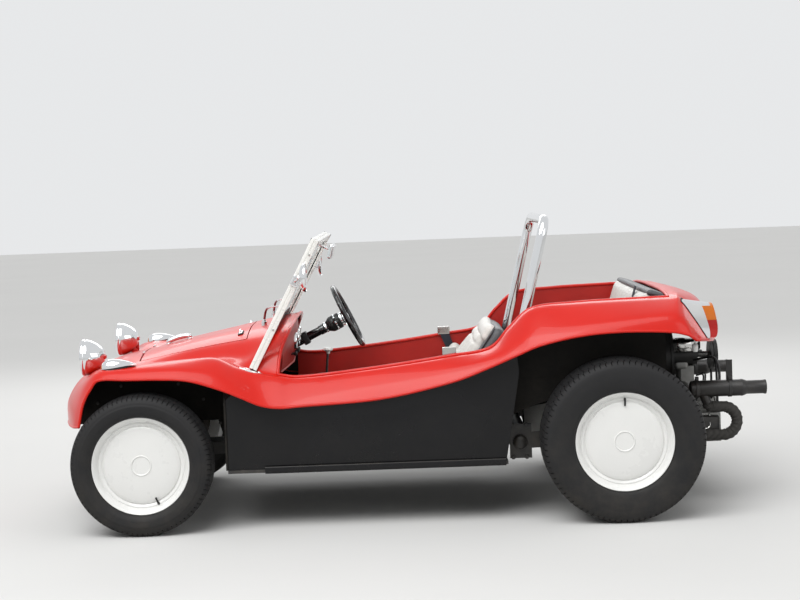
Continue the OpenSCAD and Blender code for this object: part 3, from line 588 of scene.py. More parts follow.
def effect(name, inputs, outputs):
    """An empty shader group with float inputs and outputs, as (tree, its inputs, its output node)."""
    tree = bpy.data.node_groups.new(name, "ShaderNodeTree")
    for key, default in inputs.items():
        tree.interface.new_socket(key, in_out="INPUT", socket_type="NodeSocketFloat").default_value = default
    for key in outputs:
        tree.interface.new_socket(key, in_out="OUTPUT", socket_type="NodeSocketFloat")
    return tree, tree.nodes.new("NodeGroupInput").outputs, tree.nodes.new("NodeGroupOutput").inputs


def object_place(tree):
    """Coordinates of the object, which patterns are laid on."""
    return tree.nodes.new("ShaderNodeTexCoord").outputs["Object"]


def noise(tree, vector, scale, detail=3.0, roughness=0.5):
    """Cloudy pattern, from 0 to 1."""
    return add(tree, "ShaderNodeTexNoise", Vector=vector, Scale=scale, Detail=detail,
               Roughness=roughness).outputs[0]


def build_effects():
    """The shared effects: fine grain with a slow change of tone, dust that gathers low down, and the pebbles
    of leathercloth with painted shade in its creases."""
    tree, given, out = effect("surface_grain", {"Scale": 300.0, "Patch Scale": 6.0}, ("Tone", "Height"))
    place = object_place(tree)
    slow = noise(tree, place, given["Patch Scale"], 4.0, 0.6)
    fine = noise(tree, place, given["Scale"], 2.0)
    tree.links.new(spread(tree, slow, 0.3, 0.7, 0.0, 1.0), out["Tone"])
    tree.links.new(fine, out["Height"])

    tree, given, out = effect("road_dust", {"Top": 0.7, "Scale": 14.0, "Amount": 0.3}, ("Mask",))
    place = object_place(tree)
    height = add(tree, "ShaderNodeSeparateXYZ", Vector=place).outputs[2]
    low_down = maths(tree, "SUBTRACT", 1.0, maths(tree, "DIVIDE", height, given["Top"]))
    cloud = spread(tree, noise(tree, place, given["Scale"], 6.0, 0.65), 0.35, 0.75, 0.0, 1.0)
    specks = spread(tree, noise(tree, place, 420.0, 1.0), 0.62, 0.75, 0.0, 0.8)
    both = maths(tree, "MAXIMUM", cloud, specks)
    settled = maths(tree, "MULTIPLY", both, spread(tree, low_down, 0.0, 1.0, 0.12, 1.0))
    tree.links.new(maths(tree, "MULTIPLY", settled, given["Amount"]), out["Mask"])

    tree, given, out = effect("leathercloth", {"Scale": 420.0}, ("Tone", "Height"))
    place = object_place(tree)
    cells = add(tree, "ShaderNodeTexVoronoi", {"feature": "DISTANCE_TO_EDGE"}, Vector=place,
                Scale=given["Scale"]).outputs[0]
    pebble = spread(tree, cells, 0.0, 0.25, 0.0, 1.0)
    crease = noise(tree, place, 34.0, 5.0, 0.7)
    # Tone is painted shade: darker where the crease pattern, and with it the bump, sinks.
    tree.links.new(spread(tree, crease, 0.35, 0.7, 0.0, 1.0), out["Tone"])
    tree.links.new(maths(tree, "ADD", pebble, maths(tree, "MULTIPLY", crease, 1.5)), out["Height"])


def use(tree, name, **inputs):
    """One of the shared effects with its own values."""
    made = tree.nodes.new("ShaderNodeGroup")
    made.node_tree = bpy.data.node_groups[name]
    for key, value in inputs.items():
        made.inputs[key.replace("_", " ")].default_value = value
    return made.outputs


def shader(name, **inputs):
    """A finish with its Principled shader's plain values set: (tree, shader)."""
    material = FINISHES[name] = bpy.data.materials.new(name)
    material.use_nodes = True
    tree = material.node_tree
    principled = next(n for n in tree.nodes if n.type == "BSDF_PRINCIPLED")
    for key, value in inputs.items():
        principled.inputs[key.replace("_", " ")].default_value = value
    return tree, principled


def relief(tree, principled, height, depth, strength=1.0):
    """Bump of the given height pattern, with its depth in millimetres."""
    bump = add(tree, "ShaderNodeBump", Height=height, Strength=strength, Distance=depth * MM)
    feed(tree, principled.inputs["Normal"], bump.outputs[0])


def rgba(rgb, factor=1.0):
    """An opaque colour, darker or brighter by the factor."""
    return tuple(min(1.0, c * factor) for c in rgb) + (1.0,)


DUST_COLOUR = (0.32, 0.27, 0.20, 1.0)


def finish(name, rgb, roughness, grain=300.0, depth=0.02, shade=0.85, patches=6.0, dust=0.15, dust_top=0.7,
           rough_change=0.08, **inputs):
    """A finish with fine grain in its surface, a slow change of tone and of gloss, and road dust."""
    tree, principled = shader(name, **inputs)
    surface = use(tree, "surface_grain", Scale=grain, Patch_Scale=patches)
    dirt = use(tree, "road_dust", Top=dust_top, Amount=dust)["Mask"]
    tone = blend(tree, surface["Tone"], rgba(rgb, shade), rgba(rgb))
    feed(tree, principled.inputs["Base Color"], blend(tree, dirt, tone, DUST_COLOUR))
    gloss = spread(tree, surface["Tone"], 0.0, 1.0, roughness, roughness + rough_change)
    feed(tree, principled.inputs["Roughness"], maths(tree, "ADD", gloss, maths(tree, "MULTIPLY", dirt, 0.5)))
    relief(tree, principled, surface["Height"], depth)


def vinyl(name, rgb):
    """Leathercloth: pebbled and creased, with painted shade in its creases: its colour darkens where the
    crease pattern sinks.
    """
    tree, principled = shader(name, Coat_Weight=0.15, Coat_Roughness=0.35)
    cloth = use(tree, "leathercloth", Scale=420.0)
    feed(tree, principled.inputs["Base Color"], blend(tree, cloth["Tone"], rgba(rgb, 0.82), rgba(rgb)))
    feed(tree, principled.inputs["Roughness"], spread(tree, cloth["Tone"], 0.0, 1.0, 0.36, 0.5))
    relief(tree, principled, cloth["Height"], 0.25)


def lens(name, rgb, transmission):
    """Moulded lens with fine prisms on its face, its colour darker in the low parts of the prisms: painted
    shade.
    """
    tree, principled = shader(name, Roughness=0.04, IOR=1.49, Transmission_Weight=transmission)
    place = object_place(tree)
    prisms = add(tree, "ShaderNodeTexWave", {"bands_direction": "Y"}, Vector=place, Scale=60.0).outputs[1]
    # Painted shade: the lens colour darkens to 0.8 in the troughs of the prism bump.
    feed(tree, principled.inputs["Base Color"], blend(tree, prisms, rgba(rgb, 0.8), rgba(rgb)))
    relief(tree, principled, prisms, 0.4, 0.5)


def ribbed(name, rgb, scale, direction, depth, roughness):
    """Wrapped or woven bands across one direction, their colour halved in the low parts of the bands: painted
    shade in the grooves.
    """
    tree, principled = shader(name)
    place = object_place(tree)
    bands = add(tree, "ShaderNodeTexWave", {"bands_direction": direction}, Vector=place, Scale=scale,
                Distortion=0.6).outputs[1]
    worn = use(tree, "surface_grain", Scale=500.0, Patch_Scale=9.0)
    # Painted shade: the colour is halved where the bands, and so the bump, are low.
    tone = blend(tree, bands, rgba(rgb, 0.5), rgba(rgb))
    feed(tree, principled.inputs["Base Color"], blend(tree, worn["Tone"], rgba(rgb, 0.7), tone))
    gloss = spread(tree, worn["Tone"], 0.0, 1.0, roughness, roughness + 0.15)
    feed(tree, principled.inputs["Roughness"], gloss)
    height = maths(tree, "ADD", bands, maths(tree, "MULTIPLY", worn["Height"], 0.4))
    relief(tree, principled, height, depth)


def build_finishes():
    """Makes every finish on the car. The plain ones give colour, roughness, scale and depth of their grain,
    shade and scale of their darker patches, and dust."""
    tint = colours()
    build_effects()
    finish("gelcoat", tint.body, 0.28, 220.0, 0.012, 0.92, 3.0, 0.01, 0.9,
           Specular_IOR_Level=0.25, Coat_Weight=0.25, Coat_Roughness=0.02)
    # The inside red is the body colour darkened to 0.7: painted shade on the inside of the tub and on the
    # dash.
    finish("inner_red", tuple(c * 0.7 for c in tint.body), 0.38, 160.0, 0.08, 0.8, 5.0, 0.06)
    finish("underseal", (0.012, 0.011, 0.010), 0.75, 90.0, 0.5, 0.6, 12.0, 0.12, Specular_IOR_Level=0.2)
    finish("gloss_black", tint.panel, 0.22, 200.0, 0.015, 0.7, 2.5, 0.02, 0.6,
           Specular_IOR_Level=0.2, Coat_Weight=0.12, Coat_Roughness=0.05)
    finish("chassis_black", tint.chassis, 0.36, 260.0, 0.05, 0.7, 9.0, 0.25)
    finish("satin_black", (0.013, 0.013, 0.013), 0.42, 320.0, 0.05, 0.7, 14.0, 0.1)
    finish("chrome", (0.80, 0.81, 0.82), 0.04, 500.0, 0.001, 0.94, 8.0, 0.015,
           rough_change=0.05, Metallic=1.0)
    finish("dull_chrome", (0.62, 0.61, 0.59), 0.14, 400.0, 0.01, 0.8, 16.0, 0.1, Metallic=1.0)
    finish("alloy_frame", (0.90, 0.89, 0.85), 0.24, 600.0, 0.01, 0.95, 10.0, 0.02,
           Metallic=0.2, Coat_Weight=0.5, Coat_Roughness=0.05)
    finish("cast_alloy", (0.36, 0.36, 0.35), 0.42, 170.0, 0.25, 0.6, 11.0, 0.35, Metallic=0.85)
    finish("iron", (0.07, 0.062, 0.055), 0.6, 150.0, 0.3, 0.55, 15.0, 0.4, Metallic=0.4)
    finish("wheel_white", tint.wheels, 0.25, 240.0, 0.03, 0.95, 7.0, 0.05, 0.5,
           Coat_Weight=0.5, Coat_Roughness=0.08)
    finish("tyre", tint.tyres, 0.6, 380.0, 0.09, 0.75, 9.0, 0.07, 0.55, Specular_IOR_Level=0.3)
    finish("rubber", (0.014, 0.014, 0.015), 0.55, 350.0, 0.06, 0.75, 12.0, 0.08, Specular_IOR_Level=0.35)
    finish("grey_rubber", (0.09, 0.095, 0.10), 0.5, 320.0, 0.05, 0.8, 10.0, 0.1)
    finish("exhaust_black", (0.014, 0.013, 0.013), 0.34, 240.0, 0.06, 0.6, 10.0, 0.12)
    ribbed("mat", (0.02, 0.02, 0.021), 45.0, "Y", 1.2, 0.7)
    ribbed("pipe_wrap", (0.045, 0.042, 0.038), 22.0, "DIAGONAL", 1.5, 0.75)
    ribbed("webbing", (0.012, 0.014, 0.03), 160.0, "Z", 0.5, 0.6)
    finish("grip", (0.008, 0.008, 0.009), 0.2, 280.0, 0.05, 0.7, 20.0, 0.02, Coat_Weight=0.6)
    vinyl("vinyl_light", tint.seats)
    vinyl("vinyl_dark", tint.seat_trim)
    finish("enamel_white", (0.82, 0.82, 0.80), 0.2, 200.0, 0.01, 0.95, 20.0, 0.02)
    finish("dial_black", (0.01, 0.01, 0.011), 0.5, 300.0, 0.02, 0.8, 20.0, 0.02)
    finish("needle_red", (0.7, 0.05, 0.02), 0.4, 300.0, 0.01, 0.9, 20.0, 0.0)
    finish("wiper_red", (0.20, 0.006, 0.008), 0.25, 260.0, 0.02, 0.8, 18.0, 0.05)
    lens("amber_lens", tint.amber, 0.35)
    lens("red_lens", tint.red, 0.3)
    lens("lamp_glass", (0.93, 0.95, 0.96), 0.55)
    shader("window_glass", Base_Color=(0.93, 0.97, 0.96, 1), Roughness=0.0, IOR=1.1,
           Transmission_Weight=1.0, Specular_IOR_Level=1.0)
    shader("mirror_glass", Base_Color=(0.9, 0.91, 0.92, 1), Metallic=1.0, Roughness=0.02)
    shader("reflector", Base_Color=(0.9, 0.9, 0.9, 1), Metallic=1.0, Roughness=0.12)


# ---------- bodywork ----------

def cells(a, b):
    """Evenly spread parameters from a to b at the body's cell size."""
    return np.linspace(a, b, max(2, round((b - a) * sizes().skin_cells)) + 1)


def skin_panel(us, vs, rule=None):
    """Closed body panel over us and vs, without the cells that the rule takes out."""
    top = skin(us, vs)
    thickness = sizes().skin_thickness / MM
    middle_u, middle_v = (us[1:] + us[:-1]) / 2, (vs[1:] + vs[:-1]) / 2
    keep = None
    if rule:
        keep = np.broadcast_to(rule(middle_u[:, None], middle_v[None, :]), (len(us) - 1, len(vs) - 1))
    return shell(top, top - thickness * skin_normals(us, vs), keep, inside=1)


def rolled_edge(us, vs, radius):
    """Bead along an edge of the skin, sunk by half its thickness."""
    us, vs = np.atleast_1d(us), np.atleast_1d(vs)
    line = skin(us, vs).reshape(-1, 3)
    under = skin_normals(us, vs).reshape(-1, 3) * (sizes().skin_thickness / MM / 2)
    return tube(line - under, radius, 12)


def outside_hood(u, v):
    """True for the cells that lie outside the hood's opening."""
    return ~((u > HOOD_FRONT) & (u < HOOD_REAR) & (abs(v) < HOOD_SIDE))


def build_bodywork():
    """Front, side and rear skins with their rolled lips, and the bead round the cockpit."""
    lip = sizes().lip_radius / MM
    bead = lip + 2
    coats = "gelcoat underseal"
    across = cells(-RAILS, RAILS)
    front = skin_panel(cells(0, AT_SIDE), across, lambda u, v: outside_hood(u, v)
                       & ~((u > AT_SCUTTLE) & (abs(v) < COCKPIT_RAIL)))
    front_lips = both_sides(rolled_edge(cells(0, AT_SIDE), RAILS, lip),
                            rolled_edge(cells(AT_SCUTTLE, AT_SIDE), COCKPIT_RAIL, bead))
    make("front_bodywork", join(front, front_lips, rolled_edge(0, across, lip),
         rolled_edge(AT_SCUTTLE, cells(-COCKPIT_RAIL, COCKPIT_RAIL), bead)),
         coats, slot="red_body", replaces=["front_body"])
    side_u = cells(AT_SIDE, AT_TAIL)
    side = join(skin_panel(side_u, cells(COCKPIT_RAIL, RAILS)), rolled_edge(side_u, RAILS, lip),
                rolled_edge(side_u, COCKPIT_RAIL, bead))
    make("left_cockpit_side", side, coats, slot="red_body", replaces=["left_body_side"])
    make("right_cockpit_side", mirrored(side), coats, slot="red_body", replaces=["right_body_side"])
    tail_u = cells(AT_TAIL, AT_END)
    make("rear_bodywork", join(skin_panel(tail_u, across), both_sides(rolled_edge(tail_u, RAILS, lip)),
         rolled_edge(AT_END, across, lip), rolled_edge(AT_TAIL, cells(-COCKPIT_RAIL, COCKPIT_RAIL), bead)),
         coats, slot="red_body", replaces=["rear_body"])


HINGE_RADIUS = 5


def build_hood():
    """Hood panel between its shut lines, with hinge barrels, handle and rubber-based catches."""
    shut_line, span_u, span_v = 6, 140, 150
    gap_u, gap_v = shut_line / span_u, shut_line / span_v
    us = cells(HOOD_FRONT + gap_u, HOOD_REAR - gap_u)
    vs = cells(-HOOD_SIDE + gap_v, HOOD_SIDE - gap_v)
    seam = skin(HOOD_FRONT, 1)[0, 0]
    hinge = [seam[0] - 3, 0, seam[2] + HINGE_RADIUS + 0.5]
    barrel = moved(disc(HINGE_RADIUS, -25, 50, 24), [hinge[0], 165, hinge[2]], ACROSS)
    make("hood_panel", join(skin_panel(us, vs), painted(both_sides(barrel), 2)),
         "gelcoat underseal chrome", body="hood", slot="red_body", replaces=["hood"])
    front, rear = rail_points(0, [-34])[0], rail_points(0, [-134])[0]
    lift = np.array([0, 0, 1.0])
    grip = smooth([front + lift * 3, front + [-4, 0, 13], (front + rear) / 2 + lift * 19,
                   rear + [4, 0, 13], rear + lift * 3], 10)
    taper = 8 + 3.5 * np.sin(np.linspace(0, pi, len(grip)))
    foot = join(disc(13, -3, 5, 28), painted(disc(17, -4, 3.5, 28), 1))
    feet = [moved(foot, p, axes_along((0.17, 0, 1))) for p in (front, rear)]
    make("hood_handle", join(tube(grip, taper, 18), *feet), "chrome rubber",
         body="hood", slot="chrome")
    at = skin(HOOD_REAR - 0.36, HOOD_SIDE - 0.6)[0, 0]
    axes = axes_along(skin_normals(HOOD_REAR - 0.36, HOOD_SIDE - 0.6)[0, 0])
    catch = join(painted(soft_block((-26, -13, -2), (26, 13, 5), 4, 10), 1),
                 soft_block((-20, -8, 4), (20, 8, 9), 3, 10),
                 tube(rounded([(-16, 0, 8), (-16, 0, 16), (16, 0, 16), (16, 0, 8)], 6), 3.2, 12))
    catch = moved(catch, at, axes)
    make("hood_catches", both_sides(catch), "chrome rubber", body="hood", slot="chrome")


PANEL_Y = 688
FLOOR_TOP = 259
PANEL_FRONT = -362
RISER_X = REAR_X + 480


def build_side_panels():
    """Black outer panels that follow the body lip, the red inner cockpit walls and the sill rails."""
    share = np.linspace(0, 1, 90)[:, None]
    rise = np.linspace(0, 1, 26)[None, :]
    rear_edge = np.interp(rise, [0, 0.83, 1], [REAR_X + 489, REAR_X + 422, REAR_X + 430])
    x = PANEL_FRONT + share * (rear_edge - PANEL_FRONT)
    top = np.minimum(rail_points(RAILS, x)[..., 2] - 3, 560 + (PANEL_FRONT - x) * 0.75)
    z = FLOOR_TOP - 10 + rise * (top - FLOOR_TOP + 10)
    crown = 7 * np.sin(pi * rise) * np.sin(pi * share) ** 0.5
    outer = np.stack([x, PANEL_Y - 7 + crown + 0 * x, z], -1)
    panel = shell(outer, outer - [0, 9, 0])
    for side, turn in (("left", lambda s: s), ("right", mirrored)):
        make(f"{side}_outer_panel", turn(panel), "gloss_black", slot="black_panel",
             replaces=[f"{side}_side_panel"])
    xs = np.linspace(-592, REAR_X - 218, 120)
    foot = np.where(xs > RISER_X - 4, FLOOR_TOP - 4, 588)
    rim = rail_points(COCKPIT_RAIL, xs)
    lines = [np.stack([xs, 561 + 7 * t**3 + 0 * xs, foot + t * (rim[:, 2] - 5 - foot)], -1)
             for t in np.linspace(0, 1, 14)]
    wall = np.stack(lines, 1)
    make("inner_cockpit_walls", both_sides(shell(wall, wall + [0, 5, 0], inside=1)), "inner_red underseal",
         slot="tub_red")
    rail = [(688, 243), (692, 241), (696, 243), (697, 247), (697, 266), (695, 271), (690, 272), (688, 270)]
    section = np.stack([np.column_stack([np.full(len(rail), x), rail])
                        for x in np.linspace(-520, REAR_X + 489, 30)])
    caps = [patch(section[i], [list(range(len(rail)))]) for i in (0, -1)]
    make("sill_rails", both_sides(join(grid(section, wrap_v=True), *caps)), "gloss_black",
         slot="black_panel", sharp=60)


def ribbon(profile, low_y, high_y, thickness, cells_y=24):
    """Sheet carried across the car along a profile of (x, z), with its thickness on the profile's left."""
    line = np.asarray(profile, float)
    along = np.gradient(line, axis=0)
    normal = np.column_stack([-along[:, 1], along[:, 0]])
    normal /= np.linalg.norm(normal, axis=1, keepdims=True)
    ys = np.linspace(low_y, high_y, cells_y + 1)

    def lay(path):
        """The path repeated at every Y."""
        return np.stack([np.stack([path[:, 0], np.full(len(path), y), path[:, 1]], -1) for y in ys], 1)
    return shell(lay(line), lay(line + normal * thickness), inside=1)


def flat_path(points, radius):
    """Rounded polyline in X and Z."""
    points = np.array([(x, 0, z) for x, z in points], float)
    return rounded(points, radius, 8)[:, [0, 2]]


SHELF = 590
BULKHEAD_FOOT = (REAR_X - 130, SHELF)
BULKHEAD_TOP = (REAR_X - 226, 905)
BULKHEAD_LEAN = degrees(atan((BULKHEAD_FOOT[0] - BULKHEAD_TOP[0])
                                       / (BULKHEAD_TOP[1] - BULKHEAD_FOOT[1] - 8)))


def build_rear_tub():
    """Riser behind the front seats, shelf and leaning bulkhead in one moulding, with the arch walls below."""
    profile = flat_path([(RISER_X + 5, FLOOR_TOP + 1), (RISER_X + 5, SHELF + 4),
                         (BULKHEAD_FOOT[0] + 4, SHELF + 4), (BULKHEAD_TOP[0] + 4, BULKHEAD_TOP[1] + 6)], 26)
    moulding = ribbon(profile, -561, 561, 5, 30)
    arch = plate([(RISER_X + 2, SHELF - 160), (RISER_X + 2, SHELF + 4), (BULKHEAD_FOOT[0], SHELF + 4),
                  (BULKHEAD_FOOT[0] + 3, SHELF - 36), (REAR_X + 200, SHELF - 60)], 0, 7,
                 [[1, 0, 0], [0, 0, 1], [0, 1, 0]], (0, 561, 0))
    make("rear_tub_moulding", join(moulding, painted(both_sides(arch), 1)), "inner_red underseal",
         slot="tub_red", replaces=["rear_tub"], bevel=1)


# ---------- windshield, roll bar, mirrors and wipers ----------

WS_AXES = turned_y(-degrees(WINDSHIELD_LEAN))
WS_ORIGIN = np.array([windshield_x(WINDSHIELD_FOOT), 0, WINDSHIELD_FOOT])
WS_TO_PLANE = WS_AXES @ np.array([[0, 0, 1], [1, 0, 0], [0, 1, 0]], float)


def on_windshield(shape):
    """A shape drawn with X across the car, Y up the slope and Z forward of the glass."""
    return moved(shape, WS_ORIGIN, WS_TO_PLANE)


def build_windshield(half_width=578, top=1222, bar_width=26, depth=34):
    """Channel frame mitred at its top corners, with a groove, rubber seals, chrome feet and bolts."""
    length = (top - WINDSHIELD_FOOT) / cos(WINDSHIELD_LEAN)
    h = depth / 2
    section = np.array([(0, -h + 3), (0, -3), (2.5, -2), (2.5, 2), (0, 3), (0, h - 3), (0.9, h - 0.9), (3, h),
                        (bar_width - 3, h), (bar_width - 0.9, h - 0.9), (bar_width, h - 3), (bar_width, 6),
                        (bar_width - 8, 5), (bar_width - 8, -5), (bar_width, -6),
                        (bar_width, -h + 3), (bar_width - 0.9, -h + 0.9), (bar_width - 3, -h),
                        (3, -h), (0.9, -h + 0.9)])
    inset, depth_at = section[:, 0], section[:, 1]
    foot = 28 * inset / bar_width
    across = np.stack([inset - half_width, inset - half_width, half_width - inset, half_width - inset], 1)
    up = np.stack([foot, length - inset, length - inset, foot], 1)
    channel = grid(np.stack([across, up, depth_at[:, None] + 0 * up], -1), wrap_u=True)
    ring = list(range(len(section)))
    caps = [patch(np.stack([across[:, k], up[:, k], depth_at], -1), [ring]) for k in (0, 3)]
    mitre = [painted(tube([(s * (half_width + 0.2), length + 0.2, d), (s * (half_width - bar_width),
             length - bar_width, d)], 1.1, 8), 1) for s in (-1, 1) for d in (-h, h)]
    screws = [painted(moved(disc(5, -1, 3, 16), (s * half_width, y, -6),
                            axes_along((s, 0, 0))), 2) for s in (-1, 1) for y in (190, length - 70)]
    make("windshield_channel", on_windshield(join(channel, *caps, *mitre, *screws)),
         "alloy_frame rubber dull_chrome", slot="chrome", replaces=["windshield_frame"],
         sharp=32)
    inner = half_width - bar_width + 7
    seal = rounded([(-inner, 66, 0), (-inner, length - bar_width + 7, 0), (inner, length - bar_width + 7, 0),
                    (inner, 66, 0)], 14)
    cowl = skin(AT_WINDSHIELD, np.linspace(-3.75, 3.75, 60))[0]
    strip = tube(cowl + [0, 0, 5], 8.5, 12)
    rise = WS_TO_PLANE @ np.array([0, 1, 0])
    near = cowl[np.abs(cowl[:, 1]) < half_width - bar_width]
    apron = np.stack([near + rise * r for r in np.linspace(2, 36, 6)], 1)
    apron = painted(shell(apron - [5, 0, 0], apron + [5, 0, 0]), 1)
    lip = tube(cowl + [9, 0, 2], 5, 10)
    make("windshield_seals", join(on_windshield(tube(seal, 5.2, 10)), strip, lip, apron),
         "rubber grey_rubber", slot="black_rubber")
    leaf = np.stack([[rail_points(4.42 + 0.5 * s * (1 - t * t) ** 0.6, [-470 - 56 * t])[0]
                      + [0, 0, 0.4 + 5 * (1 - t * t) * (1 - s * s)] for s in np.linspace(-1, 1, 13)]
                     for t in np.linspace(-1, 1, 25)])
    head = lathe([(0, 5), (4, 4.6), (6.5, 2.5), (7.5, -1), (0, -1)], 20)
    heads = [moved(head, rail_points(4.5, [x])[0] + [0, 0, 3]) for x in (-440, -502)]
    make("windshield_feet", both_sides(shell(leaf, leaf - [0, 0, 3]), *heads), "chrome", slot="chrome")


def build_wipers():
    """Two wiper arms that lie on the glass from their spindles on the cowl."""
    pieces = []
    for y in (-330, 215):
        spindle = rail_points(0, [-500])[0] + [0, 0, -9 - abs(y) * 0.02]
        spindle[1] = y
        top = spindle + [0, 0, 26]
        pieces.append(painted(bar(spindle, top, 12, 24, 3), 1))
        pieces.append(painted(bar(top - [0, 0, 2], top + [0, 0, 8], 8, 24, 2), 1))
        tip_z = top[2] + 74
        tip = np.array([windshield_x(tip_z) + 15, y + 165, tip_z])
        arm = smooth([top, top + [-12, 12, 48], (top + tip) / 2 + [6, 10, 30], tip], 8)
        pieces.append(tube(arm[:13], np.linspace(5.6, 4.4, 13), 10))
        pieces.append(painted(tube(arm[12:], np.linspace(3.8, 2.4, len(arm) - 12), 10), 1))
        rise = WS_TO_PLANE @ np.array([0, 1, 0])
        blade = tip + np.outer([-1, 1], np.array([0, 170, 0]) - rise * 14)
        out = WS_TO_PLANE @ np.array([0, 0, 1])
        pieces.append(painted(tube(blade - out * 6, 4, 8), 2))
        pieces.append(painted(tube(blade * 0.7 + blade.mean(0) * 0.3 - out, 2.4, 8), 1))
    make("wiper_arms", join(*pieces), "wiper_red chrome rubber", slot="chrome")


def build_mirrors():
    """Round door mirrors on their brackets and the mirror inside the windshield."""
    high = cad_box("mirrors")[1]
    centre = np.array([-700, high[1] - 62, high[2] - 62])
    back = spun([(0, 8), (20, 6.5), (42, 1), (56, -7), (61, -13), (62, -18), (61, -22), (58.5, -23),
                 (57, -21), (0, -21)], centre, AHEAD)
    glass = painted(moved(disc(56, -21.6, 1, 64), centre, AHEAD), 1)
    ball = moved(lathe([(0, -9), (6, -7), (9, 0), (6, 7), (0, 9)], 20), centre + [9, 0, 0])
    post_x = windshield_x(centre[2] - 16)
    arm = tube(rounded([(post_x, 574, centre[2] - 18), (post_x, centre[1] - 8, centre[2] - 18),
                        centre + [12, 0, -2]], 20), 5.6, 14)
    clamp = moved(soft_block((-17, -6, -24), (17, 10, 24), 4, 12), (post_x, 576, centre[2] - 18), WS_AXES)
    bolts = [moved(disc(4.5, 0, 8, 6), (post_x, 582, centre[2] - 18 + s * 15), ACROSS)
             for s in (-1, 1)]
    make("door_mirrors", both_sides(back, glass, ball, arm, clamp, *bolts), "chrome mirror_glass",
         slot="chrome", replaces=["mirrors"])
    shell_back = soft_block((-9, -118, -33), (12, 118, 33), 14, 22)
    face = painted(soft_block((-12, -112, -28), (-8, 112, 28), 4, 16), 1)
    body = moved(join(shell_back, face), (-806, 0, 1152), turned_y(-14))
    stem = hose([(-796, 0, 1160), (-778, 0, 1168), (-752, 0, 1184), (-741, 0, 1196)], 5, 12, 8)
    make("inside_mirror", join(painted(body, 2), painted(stem, 2), painted(moved(face, (-806, 0, 1152),
         turned_y(-14)), 1)), "satin_black mirror_glass chrome", slot="chrome")


def build_roll_bar(tube_radius=22, top=1290, lean=14, half_width=420, splay=40, foot_z=598):
    """One bent chrome tube with flanged and bolted feet."""
    foot_x, foot_y = REAR_X + 440, half_width + splay
    rise = (top - tube_radius - foot_z) / cos(radians(lean))
    path = [(0, foot_y, 4), (0, half_width, rise), (0, -half_width, rise), (0, -foot_y, 4)]
    hoop = moved(tube(rounded(path, 80, 20), tube_radius, 40), (foot_x, 0, foot_z), turned_y(-lean))
    collar = lathe([(34, 6), (30, 8), (27, 14), (24, 16), (20, 16), (20, 6)], 40, ring=True)
    flange = moved(join(disc(52, 0, 7, 48, 2), collar), (foot_x, foot_y, foot_z))
    bolts = [moved(disc(7, 6, 6, 6), (foot_x + 40 * cos(a), foot_y + 40 * sin(a), foot_z))
             for a in np.radians([45, 135, 225, 315])]
    make("roll_hoop", join(hoop, both_sides(flange, *bolts)), "chrome", slot="chrome", replaces=["roll_bar"])


# ---------- lamps ----------

def build_headlights():
    """Bullet lamps on short posts: chrome shells and rims, prismed glass over a dished reflector."""
    at = np.array([274, 457, 742])
    bullet = lathe([(71, 1), (73, 3), (77, 3.4), (79.4, 0), (80, -5), (79.4, -10), (78, -12), (78.2, -15),
                    (79, -18), (77.5, -26), (74, -36), (69, -47), (60, -64), (47, -80), (30, -91),
                    (12, -94.6), (0, -95)], 72)
    bowl = lathe([(71, 1), (70, -8), (60, -24), (44, -36), (24, -44), (10, -46), (0, -46)], 56)
    glass = lathe([(0, 15), (20, 14.2), (40, 11.2), (56, 6.6), (67, 1.4), (71, -2), (70, -4), (56, 3.4),
                   (40, 8), (20, 11), (0, 11.8)], 56)
    bulb = lathe([(0, -20), (9, -21), (12, -26), (11, -34), (0, -34)], 24)
    pod = moved(join(bullet, painted(bowl, 1), painted(glass, 2), painted(bulb, 3)), at, AHEAD)
    post_foot = rail_points(3.35, [192])[0, 2]
    stand_parts = [moved(disc(25, 0, 7, 40, 2), (192, 457, post_foot - 2)),
                   bar((192, 457, post_foot), (205, 457, 690), 13, 28),
                   bar((217, 462, 709), (217, 484, 709), 20, 36, 3),
                   bar((217, 482, 709), (217, 489, 709), 9, 6, 1),
                   moved(soft_block((-24, -5, -30), (14, 5, 16), 4, 10), (203, 466, 712)),
                   moved(soft_block((-12, -20, -9), (14, 20, 9), 5, 10), (186, 457, 742))]
    make("headlight_pods", both_sides(pod, painted(join(*stand_parts), 4)),
         "chrome reflector lamp_glass enamel_white gelcoat", slot="chrome", replaces=["headlights"])


def teardrop(grow, low, high, steps=44, sides=28):
    """Half of a drop cut at low, blunt in front and pointed behind. Its half width over its length x (0 at
    the front, 1 behind) is 2.969 x^0.5 - 1.26 x - 3.516 x^2 + 2.843 x^3 - 1.036 x^4 of the largest one."""
    x = (1 - np.cos(np.linspace(0, pi, steps + 1))) / 2
    share = 2.969 * x**0.5 - 1.26 * x - 3.516 * x**2 + 2.843 * x**3 - 1.036 * x**4
    radius = (36 + grow) * np.maximum(share, 0)
    turn = np.linspace(0, pi, sides + 1)
    y = -radius[:, None] * np.cos(turn)
    z = low + (high - low) * np.maximum(share, 0)[:, None] * np.sin(turn)
    top = np.stack([(76 + grow) * (1 - 2 * x)[:, None] + 0 * y, y, z], -1)[::-1]
    return shell(top, top * [1, 1, 0] + [0, 0, low])


def build_turn_signals():
    """Tear-drop lamps on the fender tops, with an amber front lens and a black gasket."""
    foot = rail_points(5.5, [88])[0]
    points, faces, _ = teardrop(0, 1, 38)
    centres = np.array([points[f].mean(0) for f in faces])
    numbers = np.where((centres[:, 0] > 66) & (centres[:, 2] > 3), 1, 0).tolist()
    gasket = painted(teardrop(4, -6, 3.5), 2)
    lamp = moved(join((points, faces, numbers), gasket), foot + [0, 0, 2], turned_y(7))
    make("fender_turn_signals", both_sides(lamp), "chrome amber_lens rubber", slot="chrome",
         replaces=["turn_signals"])


